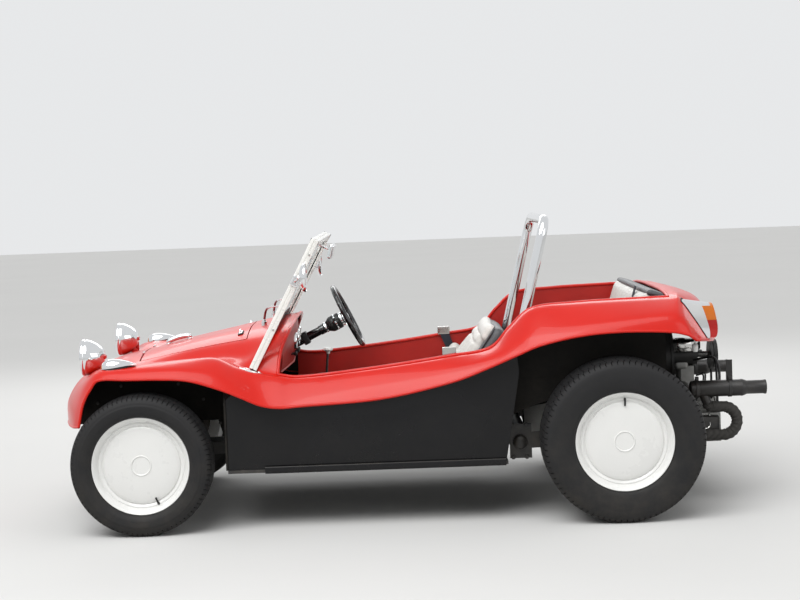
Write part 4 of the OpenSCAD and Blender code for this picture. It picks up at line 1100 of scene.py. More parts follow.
def build_tail_lamps():
    """Wedge housings between the sloping tail and an upright lens, amber above red, on a black gasket."""
    us, vs = np.linspace(20.1, 22.6, 33), np.linspace(4.25, 5.05, 17)
    base = skin(us, vs)
    normal = skin_normals(us, vs)
    t = np.linspace(0, 1, len(us))[:, None]
    s = np.linspace(0, 1, len(vs))[None, :]
    bulge = 5 * np.sin(pi * s) * np.sin(pi * t)
    upright = REAR_X - 410 - 18 * np.sin(np.radians(160 * t)) + 0 * s
    face = np.stack([np.minimum(upright, base[..., 0] - 6) - bulge, base[..., 1],
                     base[..., 2] - 22 * np.sin(np.radians(90 * (1 - t)))], -1)
    housing = shell(face, base - 2 * normal)
    depth = np.minimum(46 * (1 - 0.5 * t), 0.7 * np.maximum(base[..., 0] - face[..., 0], 4))
    middle = np.array([face[..., 1].mean(), face[..., 2].mean()])
    front = face - [1.5, 0, 0]
    back = face + np.stack([depth, 0 * depth, 0 * depth], -1)
    for layer in (front, back):
        layer[..., 1:] = middle + (layer[..., 1:] - middle) * [1.02, 1.02]
    points, faces, _ = shell(front, back)
    split = face[round(0.42 * (len(us) - 1)), 0, 2]
    numbers = [1 if points[f].mean(0)[2] > split else 2 for f in faces]
    border = np.concatenate([base[0], base[1:, -1], base[-1, -2::-1], base[-2:0:-1, 0]])
    gasket = painted(tube(border + 1, 3.2, 8, closed=True), 3)
    make("tail_lamp_clusters", both_sides(housing, (points, faces, numbers), gasket),
         "chrome amber_lens red_lens rubber", slot="lens_red", replaces=["tail_lamps"])


# ---------- seats ----------

def swollen(shape, cap, voxel=6.0):
    """Stuffs a pad: its skin is made again in small even cells, blown up as cloth from inside, and held so
    that no point moves further than the cap."""
    if cap <= 0:
        return shape
    points, faces, _ = shape
    mesh = bpy.data.meshes.new("stuffing")
    mesh.from_pydata((points * MM).tolist(), [], faces)
    work = bmesh.new()
    work.from_mesh(mesh)
    bmesh.ops.remove_doubles(work, verts=work.verts, dist=0.05 * MM)
    bmesh.ops.recalc_face_normals(work, faces=work.faces)
    work.to_mesh(mesh)
    work.free()
    pad = stand("stuffing", mesh)
    scene = bpy.context.scene
    remesh = pad.modifiers.new("Cells", "REMESH")
    remesh.mode = "VOXEL"
    remesh.voxel_size = voxel * MM
    pad.data = bpy.data.meshes.new_from_object(pad.evaluated_get(bpy.context.evaluated_depsgraph_get()))
    pad.modifiers.clear()
    start = np.zeros(len(pad.data.vertices) * 3)
    pad.data.vertices.foreach_get("co", start)
    start = start.reshape(-1, 3)
    cloth = pad.modifiers.new("Stuffing", "CLOTH")
    cloth.settings.quality = 4
    cloth.settings.mass = 0.3
    cloth.settings.use_pressure = True
    cloth.settings.uniform_pressure_force = 4
    cloth.settings.effector_weights.gravity = 0
    cloth.collision_settings.use_collision = False
    for step in range(1, 21):
        scene.frame_set(step)
    settled = pad.evaluated_get(bpy.context.evaluated_depsgraph_get()).to_mesh()
    end = np.zeros(len(start) * 3)
    settled.vertices.foreach_get("co", end)
    shift = end.reshape(-1, 3) - start
    length = np.linalg.norm(shift, axis=1, keepdims=True)
    limit = cap * MM
    shift *= np.tanh(length / limit) * limit / np.maximum(length, 1e-9)
    found = [list(p.vertices) for p in pad.data.polygons]
    scene.frame_set(1)
    bpy.data.objects.remove(pad)
    return (start + shift) / MM, found, [0] * len(found)


def crowned(shape, axis, height, pull):
    """Domes a pad towards +axis by the height, and pulls its sides in between their corners."""
    points = shape[0].copy()
    middle, half = (points.max(0) + points.min(0)) / 2, (points.max(0) - points.min(0)) / 2
    share = (points - middle) / half
    others = [k for k in range(3) if k != axis]
    dome = np.prod([1 - share[:, k] ** 2 for k in others], axis=0)
    points[:, axis] += height * dome * np.clip(share[:, axis], 0, 1)
    for k, other in (others, others[::-1]):
        points[:, k] -= pull * share[:, k] ** 3 * (1 - share[:, other] ** 2)
    return points, shape[1], shape[2]


def channelled(shape, axis, across, places, depth, width=7.0, reach=None):
    """Presses sewn seams into the face towards +axis, at the given places along another axis."""
    points = shape[0].copy()
    middle = (points[:, axis].max() + points[:, axis].min()) / 2
    front = np.clip((points[:, axis] - middle) / (points[:, axis].max() - middle), 0, 1) ** 0.5
    if reach:
        along, low, high = reach
        front = front * (1 / (1 + np.exp(-(points[:, along] - low) / 4))) \
            * (1 / (1 + np.exp((points[:, along] - high) / 4)))
    groove = sum(np.exp(-((points[:, across] - place) / width) ** 2) for place in places)
    points[:, axis] -= depth * groove * front
    return points, shape[1], shape[2]


def piping(low, high, radius, at, corner=38):
    """Cord of trim round a rectangle in Y and Z, at X = at."""
    ring = [(at, 0, low[1]), (at, high[0], low[1]), (at, high[0], high[1]), (at, low[0], high[1]),
            (at, low[0], low[1]), (at, 0, low[1])]
    return tube(rounded(ring, corner, 8)[:-1], radius, 8, closed=True)


def cushion(name, shape, material, **rest):
    """A padded piece of the seats."""
    pad = make(name, shape, material, slot="white_vinyl", sharp=80, **rest)


SEAT_X, SEAT_Y = -1180, 315
SEAT_BASE = 85


def build_seats():
    """Two bucket seats: dark shells, light pads with sewn channels, bolsters and piping."""
    cap, seam = sizes().pad_swell / MM, sizes().seam_depth / MM
    columns = np.linspace(-110, 110, 5)
    squab = swollen(crowned(soft_block((-70, -180, 74), (284, 180, 162), 34, 26), 2, 8, 5), cap)
    squab = channelled(squab, 2, 1, columns, seam)
    squab = channelled(squab, 2, 0, [222], seam * 0.8)
    back = swollen(crowned(soft_block((-62, -152, 30), (-8, 152, 562), 24, 26), 0, 7, 4), cap)
    back = channelled(back, 0, 1, columns, seam, reach=(2, 60, 485))
    back = channelled(back, 0, 2, [492], seam)
    bolster = swollen(soft_block((-70, 158, 0), (34, 222, 405), 27, 18), cap * 0.6)
    under = soft_block((-138, -228, 1), (286, 228, 96), 30, 26)
    side = soft_block((-134, 176, 60), (280, 226, 150), 20, 22)
    rear = soft_block((-105, -226, -36), (-34, 226, 608), 34, 30)
    head = swollen(crowned(soft_block((-58, -208, 520), (-6, 208, 602), 25, 24), 0, 5, 3), cap * 0.5)
    back_trim = piping((-216, 10), (216, 598), 4.5, -36)
    runners = [painted(soft_block((-120, y - 14, -0.2), (250, y + 14, 4), 2, 8), 2) for y in (-150, 150)]
    for side_name, turn, recline, slide in (("left", 1, 35, 0), ("right", -1, 41, 20)):
        base = (SEAT_X + slide, turn * SEAT_Y, FLOOR_TOP + 0.3)
        axes = turned_y(-recline)
        hinge = np.array(base) + [32, 0, SEAT_BASE]
        dark = join(moved(join(under, side, mirrored(side)), base), moved(rear, hinge, axes),
                    moved(back_trim, hinge, axes), moved(join(*runners), base))
        make(f"{side_name}_seat_shell", dark, "vinyl_dark vinyl_dark dull_chrome",
             slot="white_vinyl", replaces=[f"{side_name}_seat"])
        for part, shape, axes_used, origin in (
                ("squab", squab, None, base), ("back", back, axes, hinge), ("headrest", head, axes, hinge),
                ("bolsters", join(bolster, mirrored(bolster)), axes, hinge)):
            cushion(f"{side_name}_seat_{part}", moved(shape, origin, axes_used), "vinyl_light")


def build_rear_bench():
    """Rear bench: channelled light pads under a dark top band."""
    cap, seam = sizes().pad_swell / MM, sizes().seam_depth / MM
    columns = np.arange(-440, 441, 88)
    squab = soft_block((BULKHEAD_FOOT[0] + 40, -494, SHELF + 9), (REAR_X + 322, 494, SHELF + 120), 32, 34)
    squab = channelled(swollen(crowned(squab, 2, 6, 4), cap * 0.7), 2, 1, columns, seam * 1.3)
    cushion("bench_squab", squab, "vinyl_light", replaces=["rear_seat"])
    origin, axes = (BULKHEAD_FOOT[0] + 8, 0, SHELF + 8), turned_y(-BULKHEAD_LEAN)
    back = swollen(crowned(soft_block((4, -522, 128), (84, 522, 338), 24, 34), 0, 6, 3), cap * 0.7)
    back = channelled(back, 0, 1, columns, seam * 1.3)
    cushion("bench_back", moved(back, origin, axes), "vinyl_light")
    band = swollen(soft_block((1, -527, 326), (78, 527, 350), 11, 34), cap * 0.3)
    cushion("bench_top_band", moved(band, origin, axes), "vinyl_dark")
    t = np.linspace(0, 1, 26)
    lay = np.stack([95 + 2 * np.sin(6 * t), 0 * t, 130 + 215 * t], -1)
    strap = np.stack([lay + [0, y, 0] for y in (-24, -8, 8, 24)], 1)
    make("bench_strap", moved(shell(strap, strap - [3, 0, 0]), np.array(origin) + [0, 250, 0], axes),
         "webbing", slot="black_rubber")


def build_belts():
    """Flat webbing of the front lap belts on the inner walls, with buckles."""
    route = smooth([(-1320, 553, 716), (-1340, 552, 660), (-1366, 552, 596), (-1390, 549, 480),
                    (-1400, 545, 350), (-1398, 545, 275)], 8)
    width = np.array([26, 0, 10])
    strap = np.stack([route - width, route - width * 0.3, route + width * 0.3, route + width], 1)
    plate_at = soft_block((-1350, 549, 700), (-1290, 556, 740), 3, 10)
    anchor = painted(bar((-1398, 545, 268), (-1398, 558, 268), 15, 20, 2), 1)
    make("front_belts", both_sides(shell(strap, strap - [0, 2.4, 0]), painted(plate_at, 1), anchor),
         "webbing dull_chrome", slot="black_rubber")


# ---------- driver's place ----------

WHEEL_CENTRE = np.array([-858, -300, 828.0])
COLUMN_TILT = radians(26)
COLUMN_DOWN = np.array([cos(COLUMN_TILT), 0, -sin(COLUMN_TILT)])
WHEEL_AXES = np.stack([[sin(COLUMN_TILT), 0, cos(COLUMN_TILT)], [0, 1, 0], -COLUMN_DOWN], 1)


def build_steering_wheel():
    """Thin gloss rim on slim silver spokes, dished to a chrome hub."""
    low, high = cad_box("steering_wheel")
    rim_radius = (high[1] - low[1]) / 2 - 12.5
    ring = np.linspace(0, 2 * pi, 120, endpoint=False)
    rim = tube(np.stack([rim_radius * np.cos(ring), rim_radius * np.sin(ring), 0 * ring], -1),
               12.5 - 0.5 * np.abs(np.sin(12 * ring)), 20, closed=True)
    count = sizes().steering_spokes
    spokes = []
    for k in range(count):
        a = pi / 2 * 3 + 2 * pi * k / count
        along = np.linspace(0, 1, 20)
        reach = 30 + along * (rim_radius - 32)
        drop = -22 * (1 - along) ** 1.5
        half = 6 - 2 * along
        line = np.stack([reach, 0 * reach, drop], -1)
        strip = np.stack([line + np.outer(half * s, [0, 1, 0]) for s in (-1, -0.5, 0, 0.5, 1)], 1)
        spokes.append(painted(moved(shell(strip, strip - [0, 0, 3]), axes=turned_z(a)), 1))
    hub = lathe([(0, 4), (10, 3.6), (20, 1.5), (26, -3), (30, -10), (34, -16), (34, -38), (30, -40),
                 (0, -40)], 40)
    rivets = [moved(lathe([(0, -9), (2.6, -9.6), (3.4, -12), (0, -12)], 12),
                    (28 * cos(a), 28 * sin(a), 0)) for a in np.radians(range(0, 360, 60))]
    make("steering_wheel_rim", moved(join(rim, *spokes, painted(hub, 2), *[painted(r, 2) for r in rivets]),
         WHEEL_CENTRE, WHEEL_AXES), "grip dull_chrome chrome", body="steering_wheel",
         slot="black_rubber", replaces=["steering_wheel"])


def build_steering_column():
    """Black column with its collar, indicator stalk and clamp."""
    length = (-318 - WHEEL_CENTRE[0]) / COLUMN_DOWN[0]
    axes = axes_along(COLUMN_DOWN)
    sleeve = lathe([(0, 41), (37, 41), (38, 44), (38, 58), (35, 60), (35, 66), (38, 68), (38, 88), (34, 96),
                    (27, 106), (24, 112), (24, 130), (0, 130)], 48)
    lower = painted(lathe([(0, 128), (24, 128), (24, 150), (21, 153), (21, length), (0, length)], 48), 2)
    ring = painted(lathe([(36, 59), (39.5, 60), (39.5, 66), (36, 67)], 48, ring=True), 1)
    second = painted(lathe([(23, 112), (26, 113), (26, 122), (23, 123)], 40, ring=True), 1)
    start = WHEEL_CENTRE + COLUMN_DOWN * 78
    stalk = tube(smooth([start, start + [0, 50, 4], start + [-8, 110, 22], start + [-12, 150, 30]], 8),
                 np.linspace(5, 3.6, 25), 12)
    knob = moved(lathe([(0, -9), (6, -7), (7.5, 0), (6, 7), (0, 9)], 20), start + [-12, 152, 30])
    clamp = painted(moved(soft_block((-34, -30, 215), (34, 30, 245), 5, 12), WHEEL_CENTRE, axes), 0)
    make("steering_column_tube", join(moved(join(sleeve, lower, ring, second), WHEEL_CENTRE, axes),
         painted(stalk, 1), knob, clamp), "satin_black chrome grip", slot="chrome",
         replaces=["steering_column"])


def gauge(radius):
    """Round instrument that faces along Z: chrome ring, black dial, glass, needle and ticks."""
    ring = lathe([(radius - 5, 30), (radius - 2, 33), (radius, 30), (radius, 8), (radius - 4, 6)], 56)
    dial = disc(radius - 4, 6, 18, 48)
    glass = lathe([(0, 29), (radius - 6, 28), (radius - 5, 26), (0, 27)], 48)
    needle = moved(block((-1, -6, 25), (1, radius * 0.62, 25.6)), axes=turned_z(asin(0.6)))
    tick = block((-0.7, radius * 0.68, 24), (0.7, radius * 0.8, 24.6))
    ticks = [painted(moved(tick, axes=turned_z(a)), 2) for a in np.radians(np.arange(-130, 131, 26))]
    return join(ring, painted(dial, 1), painted(glass, 4), painted(needle, 3), *ticks)


def build_dash():
    """Red dash panel under the cowl with its rolled foot, three gauges and five knobs."""
    vs = np.linspace(-3.2, 3.2, 60)
    top = skin(AT_SCUTTLE - 0.3, vs)[0] - [0, 0, 9]
    top = top[np.abs(top[:, 1]) < 478]
    foot_x = np.interp(np.abs(top[:, 1]), [0, 480], [-611, -585])
    foot = np.stack([foot_x, top[:, 1], 0 * top[:, 1] + 648], -1)
    panel = np.stack([top + (foot - top) * t - [14 * sin(pi * t), 0, 0]
                      for t in np.linspace(0, 1, 16)])
    make("dash_panel", join(shell(panel, panel + [6, 0, 0]), tube(foot, 5, 10)), "inner_red",
         slot="red_body", replaces=["dashboard"])
    gauges = []
    for y, radius in ((-200, 46), (-95, 38), (95, 38)):
        k = np.abs(top[:, 1] - y).argmin()
        slope = top[k] - foot[k]
        axes = axes_along((-slope[2], 0, slope[0]))
        gauges.append(moved(gauge(radius), (top[k] + foot[k]) / 2 + axes[:, 2] * -10, axes))
    knobs = [painted(spun([(0, 26), (9, 24), (10, 20), (7, 12), (4, 10), (4, -6), (0, -6)],
                          (-616, y, 700), BACK, 24), 1) for y in (-40, 0, 40, 160, 200)]
    make("dash_gauges", join(*gauges, *knobs),
         "chrome dial_black enamel_white needle_red lamp_glass", slot="chrome")


def build_controls():
    """Gear lever with its boot and white knob, handbrake, hinged pedals and rubber mats."""
    tunnel = FLOOR_TOP + 120
    ripple = [(34 - 2.2 * k + (3 if k % 2 else 0), tunnel + 2 + 5 * k) for k in range(11)]
    boot = moved(lathe([(0, tunnel - 1), (38, tunnel - 1), (38, tunnel + 2), *ripple, (0, tunnel + 56)], 36),
                 (-744, 0, 0))
    lever = bar((-744, 0, tunnel + 40), (-770, 0, 682), 6, 16)
    knob = moved(lathe([(0, -16), (8, -16), (9, -6), (17, -4), (22, 2), (21, 9), (14, 15), (0, 17)], 32),
                 (-772, 0, 693))
    brake = tube(smooth([(-990, 0, tunnel + 16), (-950, 0, tunnel + 40), (-900, 0, tunnel + 58),
                         (-866, 0, tunnel + 70)], 6), 8, 14)
    grip = bar((-905, 0, tunnel + 56), (-838, 0, tunnel + 81), 13, 24, 4)
    button = bar((-838, 0, tunnel + 81), (-828, 0, tunnel + 85), 5, 16)
    bracket = soft_block((-1020, -22, tunnel - 1), (-962, 22, tunnel + 24), 6, 12)
    pedals = []
    for y, half in ((-330, 24), (-250, 24), (-160, 16)):
        pedals.append(tube(rounded([(-450, y, FLOOR_TOP + 9), (-436, y, FLOOR_TOP + 70),
                                    (-398, y, FLOOR_TOP + 146)], 30), 6, 12))
        pad = soft_block((-6, -half, -28), (6, half, 28), 4, 10)
        ribs = [block((-8, -half + 4, z), (-5, half - 4, z + 3)) for z in range(-22, 22, 7)]
        pedals.append(painted(moved(join(pad, *ribs), (-402, y, FLOOR_TOP + 156), turned_y(-20)), 2))
    shaft = moved(disc(9, -125, 250, 20), (-450, -235, FLOOR_TOP + 9), ACROSS)
    make("driver_levers", join(painted(boot, 2), lever, painted(knob, 3), painted(brake, 1),
         painted(grip, 2), painted(button, 1), bracket, *pedals, shaft),
         "chassis_black chrome rubber enamel_white", slot="black_rubber",
         replaces=["driver_controls"])
    mats = [soft_block((-870, s * 318 - 215, FLOOR_TOP - 2), (-480, s * 318 + 215, FLOOR_TOP + 5), 3, 18)
            for s in (-1, 1)]
    rear_mat = soft_block((-1530, -540, FLOOR_TOP - 2), (-1335, -90, FLOOR_TOP + 5), 3, 14)
    make("floor_mats", join(*mats, both_sides(rear_mat)), "mat", slot="black_rubber")


# ---------- wheels ----------

RIM_RADIUS = 207


def tyre_shape(radius, width):
    """Closed tyre: a smooth section with beads, ringed sidewalls and grooved tread, carried round the axle.
    Each pitch has a narrow slot across the shoulders, and every rib zigzags a little."""
    pitches, depth = sizes().tread_pitches, sizes().tread_depth / MM
    half = width / 2
    wall = np.array([(RIM_RADIUS + 0.4, half - 26), (RIM_RADIUS + 4, half - 17), (RIM_RADIUS + 13, half - 9),
                     (RIM_RADIUS + 0.3 * (radius - RIM_RADIUS), half - 2.5),
                     ((radius + RIM_RADIUS) / 2, half), (radius - 34, half - 3), (radius - 18, half - 9),
                     (radius - 8, half - 18),
                     (radius - 3, half - 30), (radius, half - 46)])
    side = smooth(wall, 4)
    ridges = sum(np.exp(-((side[:, 0] - at) / 1.5) ** 2) for at in
                 (RIM_RADIUS + 17, RIM_RADIUS + 24, radius - 42, radius - 30))
    side[:, 1] += 1.1 * ridges
    side = side[side[:, 1] > half - 44]
    edges = np.array([-0.62, -0.24, 0.24, 0.62]) * (half - 34)
    groove = 3.6
    middle = np.sort(np.concatenate([edges - groove, edges - groove + 0.8, edges, edges + groove - 0.8,
                                     edges + groove, np.linspace(-0.95, 0.95, 7) * (half - 46)]))
    tread = np.stack([np.full(len(middle), radius) - 1.5 * (middle / half) ** 4, middle], 1)
    section = np.concatenate([side * [1, -1], tread, side[::-1]])
    y = section[:, 1]
    in_groove = np.min(np.abs(y[:, None] - edges), axis=1) < groove - 0.4
    shoulder = (np.abs(y) > edges[-1] + groove) & (section[:, 0] > radius - 17)
    share = np.array([0.0, 0.10, 0.14, 0.96])
    turn = (np.arange(pitches)[:, None] + share).ravel() * 2 * pi / pitches
    slot = np.tile(share < 0.12, pitches)
    every_other = np.repeat(np.arange(pitches) % 2 == 0, len(share))
    inner_rib = (np.abs(y) < edges[-1] - groove) & ~in_groove
    sunk = np.maximum(in_groove[None, :] * 1.0,
                      np.maximum(slot[:, None] & shoulder[None, :],
                                 0.7 * ((slot & every_other)[:, None] & inner_rib[None, :])))
    zigzag = 0.35 * 2 * pi / pitches * np.abs((y / 22) % 2 - 1) * (section[:, 0] > radius - 6)
    r = section[None, :, 0] - depth * sunk
    a = turn[:, None] + zigzag[None, :]
    points = np.stack([r * np.cos(a), y[None, :] + 0 * r, r * np.sin(a)], -1)
    return grid(points, wrap_u=True, wrap_v=True)


def rim_shape(half, hub):
    """White disc wheel: rolled flanges, drop centre, stepped ring and domed cap, with its drum inside."""
    face = [(0, half - 17.4), (37, half - 17.9), (38.5, half - 16), (41, half - 15), (43.5, half - 16),
            (45, half - 18.2), (70, half - 18.8), (100, half - 20), (128, half - 22), (148, half - 24.6),
            (158, half - 27), (163, half - 29.5), (165, half - 33), (166.5, half - 34), (170, half - 32),
            (174, half - 29), (178, half - 27.6), (181, half - 28.2), (183, half - 29), (184.6, half - 27),
            (188, half - 18), (193, half - 10), (199, half - 4), (203, half - 0.8), (206, half),
            (207.3, half - 2), (207, half - 6), (204, half - 9), (194, half - 14), (190, half - 20),
            (188, half - 30), (188, 30 - half), (192, 14 - half), (206, 8 - half), (207, 4 - half),
            (206, -half), (201, -half), (186, 12 - half), (182, 32 - half), (182, half - 34),
            (180, half - 41), (160, half - 42), (120, half - 37), (0, half - 32)]
    disc_wheel = lathe(face, 112)
    drum = lathe([(0, hub), (118, hub), (124, hub + 4), (126, hub + 8), (126, hub + 14), (123, hub + 17),
                  (123, half - 46), (118, half - 40), (0, half - 38)], 72)
    fins = [lathe([(122, z), (126, z + 0.6), (126, z + 2.6), (122, z + 3.2)], 72, ring=True)
            for z in np.arange(hub + 22, half - 52, 9)]
    return join(disc_wheel, painted(join(drum, *fins), 1))


def build_wheels():
    """Tyres and rims of the four wheels."""
    drum_back = {"front": -38, "rear": -105}
    for end in ("front", "rear"):
        low, high = cad_box(f"{end}_left_tyre")
        tyre = tyre_shape((high[2] - low[2]) / 2, high[1] - low[1])
        half = cad_box(f"{end}_left_rim")[1][1] - (high[1] + low[1]) / 2
        rim = rim_shape(half, drum_back[end])
        stem_angle = radians(-112 if end == "front" else 92)
        x, y = cos(stem_angle), sin(stem_angle)
        stem = tube([(reach * x, reach * y, half - deep) for reach, deep in
                     ((178, 29), (172, 22), (160, 20), (148, 19))], [5, 4.4, 4, 3.4], 14)
        wheel = moved(join(rim, painted(stem, 2)), axes=[[1, 0, 0], [0, 0, 1], [0, 1, 0]])
        for side, flip in (("left", lambda shape: shape), ("right", mirrored)):
            corner = f"{end}_{side}"
            low, high = cad_box(f"{corner}_tyre")
            centre = (low + high) / 2
            make(f"{corner}_tyre_tread", moved(flip(tyre), centre), "tyre", body=f"{corner}_wheel",
                 slot="tyre_rubber", replaces=[f"{corner}_tyre"], sharp=32)
            make(f"{corner}_disc_wheel", moved(flip(wheel), centre), "wheel_white iron rubber",
                 body=f"{corner}_wheel", slot="white_paint", replaces=[f"{corner}_rim"], sharp=30)


# ---------- running gear ----------

def spring(start, end, radius, wire, turns, steps=18):
    """Coil round the line from start to end."""
    start, end = np.asarray(start, float), np.asarray(end, float)
    axes = axes_along(end - start)
    t = np.linspace(0, 1, int(turns * steps))
    a = 2 * pi * turns * t
    line = np.stack([radius * np.cos(a), radius * np.sin(a), t * np.linalg.norm(end - start)], -1)
    tangent = np.gradient(line, axis=0)
    tangent /= np.linalg.norm(tangent, axis=1, keepdims=True)
    out = np.stack([np.cos(a), np.sin(a), 0 * a], -1)
    up = np.cross(tangent, out)
    turn = np.linspace(0, 2 * pi, 8, endpoint=False)[:, None]
    rings = line[:, None] + wire * (out[:, None] * np.cos(turn) + up[:, None] * np.sin(turn))
    ends = np.broadcast_to(line[[0, -1]][:, None], (2, 8, 3))
    return moved(grid(np.concatenate([ends[:1], rings, ends[1:]]), wrap_v=True), start, axes)


def hex_bolts(places, axes, size=8, height=6):
    """Hexagon heads with washers at the given places."""
    one = join(disc(size * 1.25, 0, 2, 20), disc(size, 1.5, height, 6, 1.2))
    return [moved(one, at, axes) for at in places]


def build_running_gear():
    """Details on the axle beam, the spring plates and the dampers: bolts, clamps, coils, boots and hoses."""
    beam_x, axle_z, tube_rise = 140, 300, 75
    clamps = [spun([(27.2, -9), (30, -8), (30, 8), (27.2, 9)], (beam_x, y, axle_z + s * tube_rise),
                   ACROSS, 36, True) for y in (75, 250, 400) for s in (-1, 1)]
    boot = lathe([(18, 0), (23, 3), (19, 7), (24, 11), (20, 15), (25, 19), (20, 22), (17, 22)], 28, ring=True)
    boots = [moved(boot, (0, 600, axle_z + s * tube_rise - 11)) for s in (-1, 1)]
    tower = hex_bolts([(beam_x + x, 433, axle_z + z) for z in (100, -96) for x in (-24, 24)], ACROSS, 7)
    damper_low, damper_high = np.array([88, 500, 247.0]), np.array([94.6, 426, 413.0])
    rise = damper_high - damper_low
    coil = spring(damper_low + rise * 0.12, damper_low + rise * 0.9, 23, 4, 6)
    brake_hose = hose([(120, 440, 400), (90, 500, 420), (40, 545, 400), (6, 590, 340)], 5)
    rear_low = np.array([REAR_X + 78, 533.3, 352.0])
    rear_rise = np.array([72, 0, 218.0])
    rear_coil = spring(rear_low + rear_rise * 0.06, rear_low + rear_rise * 0.8, 31, 5, 8)
    collar = moved(disc(36, 0, 8, 36, 2), rear_low + rear_rise * 0.82, axes_along(rear_rise))
    plate_bolts = hex_bolts([(x, 516, z) for x in (-1643, -1584) for z in (246, 386)], ACROSS, 8, 7)
    cap = spun([(0, 16), (18, 15), (27, 10), (31, 3), (31, -3), (0, -3)], (-1615, 529, 313), ACROSS, 40)
    rear_hose = hose([(REAR_X + 60, 400, 420), (REAR_X + 110, 470, 470), (REAR_X + 190, 500, 430),
                      (REAR_X + 260, 470, 380)], 5)
    make("suspension_details", both_sides(join(
        *clamps, *boots, *tower, painted(coil, 1), painted(brake_hose, 2), painted(rear_coil, 1), collar,
        *plate_bolts, cap, painted(rear_hose, 2))), "chassis_black iron rubber", slot="black_steel")
    dome = lathe([(0, 4), (5, 3.4), (8, 0), (8, -1), (0, -1)], 14)
    arch = [moved(dome, (330 * cos(a), 393.5, 300 + 330 * sin(a)), ACROSS)
            for a in np.radians(np.arange(22.5, 158, 22.5))]
    wall = [moved(dome, (PANEL_FRONT + 8, y, z), AHEAD)
            for y in (430, 520, 610, 665) for z in (300, 440, 540)]
    make("arch_bolts", both_sides(*arch, *wall), "chassis_black", slot="black_steel")
    finish_nodes("chassis_black", "front_axle_beam", "trailing_arms", "rear_torsion_tube", "fuel_tank",
                 "floor_pan")
    finish_nodes("underseal", "front_tub")
    finish_nodes("satin_black", "shock_absorbers", "fan_shroud")
    finish_nodes("window_glass", "windshield_glass")
    finish_nodes("cast_alloy", "transaxle", "engine")
    finish_nodes("iron", "left_knuckle", "right_knuckle", "track_rod", "pitman_arm")


# ---------- engine and exhaust ----------

ENGINE_X = REAR_X - 170
CRANK_Z = 332
FAN_RISE = 280


def pulley(radius, hub, height):
    """Belt pulley behind the engine: hub, dished web and a V groove, turned about its axis."""
    return spun([(0, 20), (hub, 20), (hub + 4, 14), (radius - 18, 12), (radius - 2, 20), (radius, 17),
                 (radius - 9, 10), (radius, 3), (radius - 2, 0), (0, 0)], (-342, 0, height), BACK)


def build_engine_details():
    """Cooling fins, rocker covers with their bails, pulleys and belt, carburettor, hoses and leads. They are
    drawn with X = 0 at the engine's front face and Z = 0 at its crankshaft."""
    fins = [block((-306, y, -62), (-34, y + 2.6, 82)) for y in range(150, 356, 11)]
    cover = soft_block((-300, 372, -58), (-40, 416, 52), 16, 16)
    bail = tube(rounded([(-255, 405, 58), (-255, 419, -6), (-90, 419, -6), (-90, 405, 58)], 18), 3, 8)
    bank = both_sides(*fins, painted(cover, 1), painted(bail, 2))
    shaft = bar((-280, 0, FAN_RISE), (-366, 0, FAN_RISE), 14, 24)
    low_reach, high_reach = 81, 63
    lean = asin((low_reach - high_reach) / FAN_RISE)
    loop = np.concatenate([
        np.stack([-352 + 0 * a, reach * np.cos(a), height + reach * np.sin(a)], -1) for a, reach, height in (
            (np.linspace(pi - lean, 2 * pi + lean, 40), low_reach, 0),
            (np.linspace(lean, pi - lean, 40), high_reach, FAN_RISE))])
    belt = tube(loop, 5.5, 8, closed=True)
    bowl = soft_block((-230, -38, 215), (-165, 38, 300), 14, 12)
    neck = bar((-198, 0, 120), (-198, 0, 220), 22, 24)
    filter_can = moved(lathe([(0, 60), (20, 60), (24, 56), (84, 54), (92, 48), (94, 40), (94, 14), (90, 6),
                              (30, 0), (0, 0)], 64), (-198, 0, 298))
    runner = hose([(-200, 20, 140), (-200, 120, 150), (-196, 250, 130), (-194, 300, 70)], 17, 18, 8)
    leads = [hose([(-260, 70, 190), (-280 + 8 * k, 170, 210 - 6 * k), (-260 + 14 * k, 290, 170),
                   (-260 + 60 * k, 330, 84)], 4, 8) for k in (0, 1)]
    fuel = hose([(-250, 60, 260), (-320, 150, 280), (-320, 300, 250), (-300, 390, 170), (-250, 420, 120)], 6)
    trunk = hose([(-95, 340, 160), (-130, 400, 130), (-190, 420, 60), (-200, 400, -30)],
                 27 + 2.2 * np.sin(np.linspace(0, 60, 37)), 20, 12)
    ribs = [spun([(141, -3), (145, -2), (145, 2), (141, 3)], (x, 0, FAN_RISE), AHEAD, 72, True)
            for x in (-62, -138)]
    grille = [bar((-46, y, FAN_RISE - 60), (-46, y, FAN_RISE + 60), 3, 8) for y in range(-130, 131, 20)]
    pulleys = join(pulley(88, 30, 0), pulley(70, 20, FAN_RISE), *ribs)
    parts = join(bank, painted(pulleys, 3), painted(shaft, 2), painted(belt, 4), bowl, neck,
                 painted(filter_can, 2), both_sides(runner), painted(both_sides(*leads, fuel, trunk), 4),
                 painted(join(*grille), 3))
    make("engine_details", moved(parts, (ENGINE_X, 0, CRANK_Z)),
         "cast_alloy chassis_black dull_chrome satin_black rubber", slot="cast_alloy")
    lamp = join(lathe([(0, 34), (10, 33), (13, 28), (13, 4), (10, 0), (0, 0)], 24),
                bar((0, 0, 30), (0, 0, 110), 4, 12))
    make("plate_lamp", both_sides(moved(lamp, (REAR_X - 330, 640, 690))), "enamel_white", slot="white_paint")


